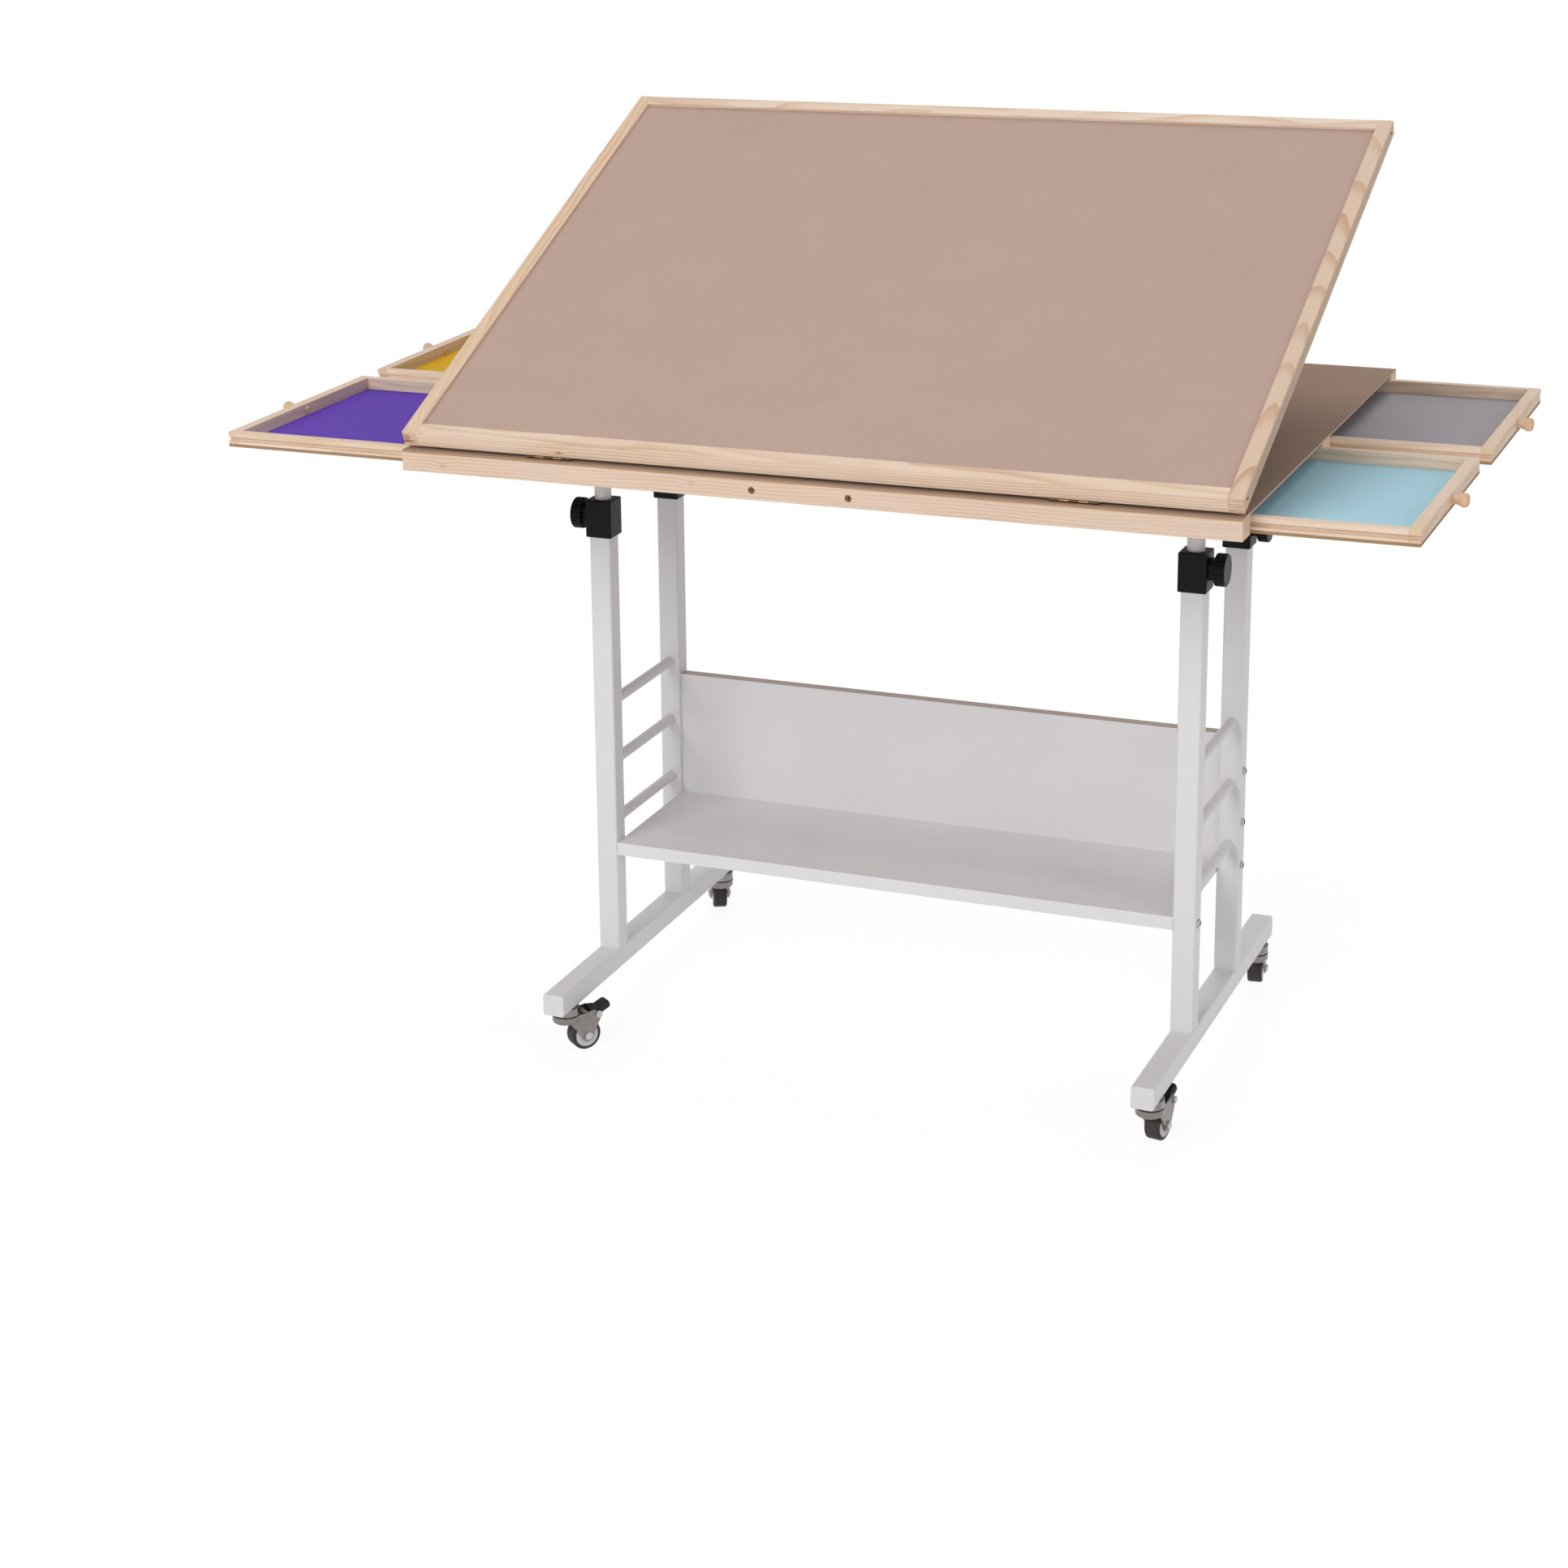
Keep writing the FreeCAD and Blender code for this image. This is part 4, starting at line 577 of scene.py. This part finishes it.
def islands(mesh):
    """The solids of a node: groups of faces that share corners, as lists of face numbers."""
    at = {}
    parent = list(range(len(mesh.vertices)))

    def root(i):
        while parent[i] != i:
            parent[i] = parent[parent[i]]
            i = parent[i]
        return i

    for vertex in mesh.vertices:
        key = tuple(round(c, 6) for c in vertex.co)
        if key in at:
            parent[root(vertex.index)] = root(at[key])
        else:
            at[key] = vertex.index
    for face in mesh.polygons:
        first = root(face.vertices[0])
        for other in face.vertices[1:]:
            parent[root(other)] = first
    groups = {}
    for face in mesh.polygons:
        groups.setdefault(root(face.vertices[0]), []).append(face.index)
    return list(groups.values())


def reach(mesh, faces):
    """Lowest and highest corner of a group of faces."""
    points = [mesh.vertices[v].co for f in faces for v in mesh.polygons[f].vertices]
    return (Vector([min(p[i] for p in points) for i in range(3)]),
            Vector([max(p[i] for p in points) for i in range(3)]))


FORK_TURN = {"front_left": 38, "front_right": 9, "rear_right": -8, "rear_left": -27}   # degrees
HUB_RADIUS = 13.9 * MM
HEAD_RADIUS = 4.7 * MM                             # heads of the axles and pedal pins
PEDAL_PIN_OUT, PEDAL_PIN_UP = 14 * MM, 24 * MM     # from the axle


def fork_axes(corner):
    """A caster's directions along its axle, and from its swivel back to its axle."""
    angle = math.radians(FORK_TURN[corner])
    return (Vector((math.cos(angle), -math.sin(angle), 0)),
            Vector((math.sin(angle), math.cos(angle), 0)))


def paint_about(node, centre, axis, radius):
    """Gives the second finish to a node's faces within a radius of a line."""
    for face in nodes[node].data.polygons:
        away = face.center - centre
        if (away - axis * away.dot(axis)).length < radius:
            face.material_index = 1


for corner in CORNERS:
    wheel, fork = "caster_wheel_" + corner, "caster_fork_" + corner
    for node in (wheel, fork):
        for face in nodes[node].data.polygons:
            face.material_index = 0
    axle, backward = fork_axes(corner)
    paint_about(wheel, middle(wheel), axle, HUB_RADIUS)
    paint_about(fork, middle(wheel), axle, HEAD_RADIUS)
    if corner.startswith("front"):
        pin = middle(wheel) + backward * PEDAL_PIN_OUT + Vector((0, 0, PEDAL_PIN_UP))
        paint_about(fork, pin, axle, HEAD_RADIUS)


# ---- sockets, cross slots and pins -----------------------------------------------------------

def punch_tree(name, sides=None):
    """A node tree that sets a small solid on every point: a prism of so many sides, or a cross.
    Its inputs are sizes in metres, and Turn brings the solid's axis from Z onto the screw's."""
    tree = bpy.data.node_groups.new(name, "GeometryNodeTree")
    tree.interface.new_socket("Geometry", in_out="INPUT", socket_type="NodeSocketGeometry")
    for label in ("Width", "Depth", "Arm"):
        tree.interface.new_socket(label, in_out="INPUT", socket_type="NodeSocketFloat")
    tree.interface.new_socket("Turn", in_out="INPUT", socket_type="NodeSocketRotation")
    tree.interface.new_socket("Finish", in_out="INPUT", socket_type="NodeSocketMaterial")
    tree.interface.new_socket("Geometry", in_out="OUTPUT", socket_type="NodeSocketGeometry")
    given = add(tree, "NodeGroupInput")
    if sides:
        radius = add(tree, "ShaderNodeMath", {0: given["Width"], 1: 0.5}, operation="MULTIPLY")[0]
        solid = add(tree, "GeometryNodeMeshCylinder",
                    {"Vertices": sides, "Radius": radius, "Depth": given["Depth"]})["Mesh"]
    else:
        slots = []
        for x, y in (("Width", "Arm"), ("Arm", "Width")):
            size = add(tree, "ShaderNodeCombineXYZ", {"X": given[x], "Y": given[y],
                                                      "Z": given["Depth"]})[0]
            slots.append(add(tree, "GeometryNodeMeshCube", {"Size": size})["Mesh"])
        solid = add(tree, "GeometryNodeJoinGeometry")["Geometry"]
        for slot in slots:
            tree.links.new(slot, solid.node.inputs["Geometry"])
    placed = add(tree, "GeometryNodeInstanceOnPoints",
                 {"Points": given["Geometry"], "Instance": solid, "Rotation": given["Turn"]})[0]
    real = add(tree, "GeometryNodeRealizeInstances", {"Geometry": placed})[0]
    coloured = add(tree, "GeometryNodeSetMaterial", {"Geometry": real,
                                                     "Material": given["Finish"]})[0]
    add(tree, "NodeGroupOutput", {"Geometry": coloured})
    return tree


hexagon_tree = punch_tree("hexagon_sockets", 6)
round_tree = punch_tree("round_pins", 12)
band_tree = punch_tree("race_bands", 48)
cross_tree = punch_tree("cross_slots")


def set_out(name, tree, points, body, slot, **sizes):
    """Runs a node tree over points and keeps the result as one plain mesh on a body."""
    seeds = bpy.data.meshes.new(name + "_points")
    seeds.from_pydata(points, [], [])
    made = bpy.data.objects.new(name, seeds)
    modifier = made.modifiers.new("set_out", "NODES")
    modifier.node_group = tree
    for item in tree.interface.items_tree:
        if item.in_out == "INPUT" and item.name in sizes:
            modifier[item.identifier] = sizes[item.name]
    scene.collection.objects.link(made)
    bpy.context.view_layer.update()
    evaluated = made.evaluated_get(bpy.context.evaluated_depsgraph_get())
    plain = bpy.data.meshes.new_from_object(evaluated)
    made.modifiers.clear()
    made.data = plain
    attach(made, body)


X, Y = 0, 1


def outer_heads(node, axis):
    """Middles of the head faces of a node's bolts that run along an axis. The head is at the end
    that is farther out."""
    mesh = nodes[node].data
    centre = middle(node)
    places = []
    for faces in islands(mesh):
        low, high = reach(mesh, faces)
        size = high - low
        if size[axis] == max(size):
            place = (low + high) / 2
            place[axis] = high[axis] if place[axis] > centre[axis] else low[axis]
            places.append(place)
    return places


ONTO_X = Euler((0, math.radians(90), 0))
ONTO_Y = Euler((math.radians(90), 0, 0))
PROUD = 0.3 * MM             # a dark punch is this deep, half of it inside the head
SOCKET_ACROSS = 5.6 * MM
for node in ("shelf_and_panel_bolts", "lift_frame_bolts"):
    set_out(node + "_sockets", hexagon_tree, outer_heads(node, X), body_of[node], "zinc_steel",
            Width=SOCKET_ACROSS, Depth=PROUD, Turn=ONTO_X, Finish=socket_shadow)
set_out("shelf_screw_slots", cross_tree, outer_heads("shelf_and_panel_bolts", Y), "stand",
        "zinc_steel", Width=1.1 * MM, Arm=4.6 * MM, Depth=PROUD, Turn=ONTO_Y,
        Finish=socket_shadow)
set_out("case_screw_slots", cross_tree, outer_heads("case_screws", Y), "case", "bronzed_screws",
        Width=1.0 * MM, Arm=4.2 * MM, Depth=PROUD, Turn=ONTO_Y, Finish=slot_shadow)

# Brads hold the board's corners. Their holes show as brown dots on the outer sides of the rails.
BRAD_HOLE = 4 * MM
BRAD_FROM_END = 13 * MM
ALONG_RAIL = Vector((0, math.cos(BOARD_TILT), math.sin(BOARD_TILT)))
for node, side in (("board_left_rail", -1), ("board_right_rail", 1)):
    low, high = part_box(node)
    size = high - low
    length = size.dot(ALONG_RAIL) - RAIL_HEIGHT * MM * math.sin(2 * BOARD_TILT)
    face = middle(node)
    face.x = high.x if side > 0 else low.x
    step = ALONG_RAIL * (length / 2 - BRAD_FROM_END)
    set_out(node + "_brad_holes", round_tree, [face - step, face + step], body_of[node],
            slot_of[node], Width=BRAD_HOLE, Depth=PROUD, Turn=ONTO_X, Finish=slot_shadow)

# The gap between a caster's fixed race and its fork lies in shade and shows as a dark line. The
# line
# is painted shade: a dark band that stands for the gap's shadow. The gap is 0.3 mm wide and the
# band is drawn at 1 mm, on the fork.
RACE_FOOT = 45.3 * MM                 # height above the floor
RACE_LINE = 1 * MM
RACE_LINE_ACROSS = 31.1 * MM          # just over the fork's crown
CASTER_TRAIL = 22 * MM                # from the swivel back to the axle
for corner in CORNERS:
    fork = "caster_fork_" + corner
    swivel = middle("caster_wheel_" + corner) - fork_axes(corner)[1] * CASTER_TRAIL
    swivel.z = RACE_FOOT
    # Each band is painted shade, dark where the gap's shadow falls.
    set_out("race_line_" + corner, band_tree, [swivel], body_of[fork], slot_of[fork],
            Width=RACE_LINE_ACROSS, Depth=RACE_LINE, Turn=Euler(), Finish=race_gap_shade)


# ---- floor, light and camera ----------------------------------------------------------------

def white_where_seen(tree):
    """1 for rays from the camera, a mirror or glass, which see the plain white studio."""
    ray = add(tree, "ShaderNodeLightPath")
    glossy = add(tree, "ShaderNodeMath", {0: ray["Is Camera Ray"], 1: ray["Is Glossy Ray"]},
                 operation="MAXIMUM")[0]
    return add(tree, "ShaderNodeMath", {0: glossy, 1: ray["Is Transmission Ray"]},
               operation="MAXIMUM")[0]


SHADOW_KEPT = 0.16           # share of the floor's own shading that shows near the table
NEAR, FAR = 0.8, 2.2         # metres from the table's middle between which the shading fades
# Near the table the white is lifted a little, to come to plain white with the paper's shading.
LIFTED = 1.065


def studio_paper():
    """White background paper: a soft shadow near the table, and plain white farther out."""
    material, tree, place, _ = start("studio_floor")
    distance = add(tree, "ShaderNodeVectorMath", {0: place}, operation="LENGTH")["Value"]
    plain = add(tree, "ShaderNodeMapRange", {"Value": distance, "From Min": NEAR, "From Max": FAR,
                                             "To Min": 1 - SHADOW_KEPT, "To Max": 1.0},
                interpolation_type="SMOOTHSTEP")[0]
    amount = add(tree, "ShaderNodeMath", {0: plain, 1: white_where_seen(tree)},
                 operation="MULTIPLY")[0]
    paper = add(tree, "ShaderNodeBsdfDiffuse", {"Color": linear("fafafa")})[0]
    lift = add(tree, "ShaderNodeMapRange", {"Value": distance, "From Min": NEAR, "From Max": FAR,
                                            "To Min": LIFTED, "To Max": 1.0},
               interpolation_type="SMOOTHSTEP")[0]
    white = add(tree, "ShaderNodeEmission", {"Color": linear("ffffff"), "Strength": lift})[0]
    both = add(tree, "ShaderNodeMixShader", {0: amount, 1: paper, 2: white})[0]
    add(tree, "ShaderNodeOutputMaterial", {"Surface": both})
    return material


FLOOR_HALF = 40.0            # metres
floor_mesh = bpy.data.meshes.new("floor")
floor_mesh.from_pydata([(-FLOOR_HALF, -FLOOR_HALF, 0), (FLOOR_HALF, -FLOOR_HALF, 0),
                        (FLOOR_HALF, FLOOR_HALF, 0), (-FLOOR_HALF, FLOOR_HALF, 0)],
                       [], [(0, 1, 2, 3)])
floor_mesh.materials.append(studio_paper())
floor = bpy.data.objects.new("floor", floor_mesh)
scene.collection.objects.link(floor)

ROOM_LIGHT = 0.45
world = bpy.data.worlds.new("studio")
scene.world = world
world.use_nodes = True
tree = world.node_tree
tree.nodes.clear()
strength = add(tree, "ShaderNodeMapRange", {"Value": white_where_seen(tree),
                                            "To Min": ROOM_LIGHT, "To Max": 1.0})[0]
room = add(tree, "ShaderNodeBackground", {"Color": linear("ffffff"), "Strength": strength})[0]
add(tree, "ShaderNodeOutputWorld", {"Surface": room})


def softbox(name, place, target, size, power):
    """A round light that faces a target. Places and size are in metres, and power in watts."""
    light = bpy.data.lights.new(name, "AREA")
    light.shape = "DISK"
    light.size = size
    light.energy = power
    made = bpy.data.objects.new(name, light)
    made.location = place
    made.rotation_euler = (Vector(target) - Vector(place)).to_track_quat("-Z", "Y").to_euler()
    scene.collection.objects.link(made)


softbox("front_softbox", (-0.9, -3.9, 2.7), (0, 0, 0.4), 2.5, 88)
softbox("right_softbox", (3.6, -1.9, 2.2), (0, 0, 0.4), 2.0, 24)
softbox("top_softbox", (-0.2, 2.2, 4.0), (0, 0, 0.7), 2.5, 44)

# The camera stands in front of the table, to its right, at about standing height.
PICTURE = 1932                             # pixels across and down
EYE = Vector((1.19122, -3.34799, 1.51971))
YAW, PITCH, ROLL = math.radians(24.98986), math.radians(15.6739), math.radians(-1.48236)
FOCAL_WIDTHS = 4042.895 / PICTURE          # focal length over the picture's width
CENTRE = (726.575 / PICTURE, 721.65 / PICTURE)   # the optical axis, from the picture's top left

ahead = Vector((-math.sin(YAW) * math.cos(PITCH), math.cos(YAW) * math.cos(PITCH),
                -math.sin(PITCH)))
level = Vector((math.cos(YAW), math.sin(YAW), 0))
upright = level.cross(ahead)
right = level * math.cos(ROLL) + upright * math.sin(ROLL)
up = upright * math.cos(ROLL) - level * math.sin(ROLL)
lens = bpy.data.cameras.new("camera")
lens.sensor_width = 36.0
lens.lens = FOCAL_WIDTHS * lens.sensor_width
lens.shift_x = 0.5 - CENTRE[0]
lens.shift_y = CENTRE[1] - 0.5
lens.clip_end = 100.0
camera = bpy.data.objects.new("camera", lens)
turn = Matrix((right, up, -ahead)).transposed().to_4x4()
camera.matrix_world = Matrix.Translation(EYE) @ turn
scene.collection.objects.link(camera)
scene.camera = camera
scene.view_settings.view_transform = "Standard"
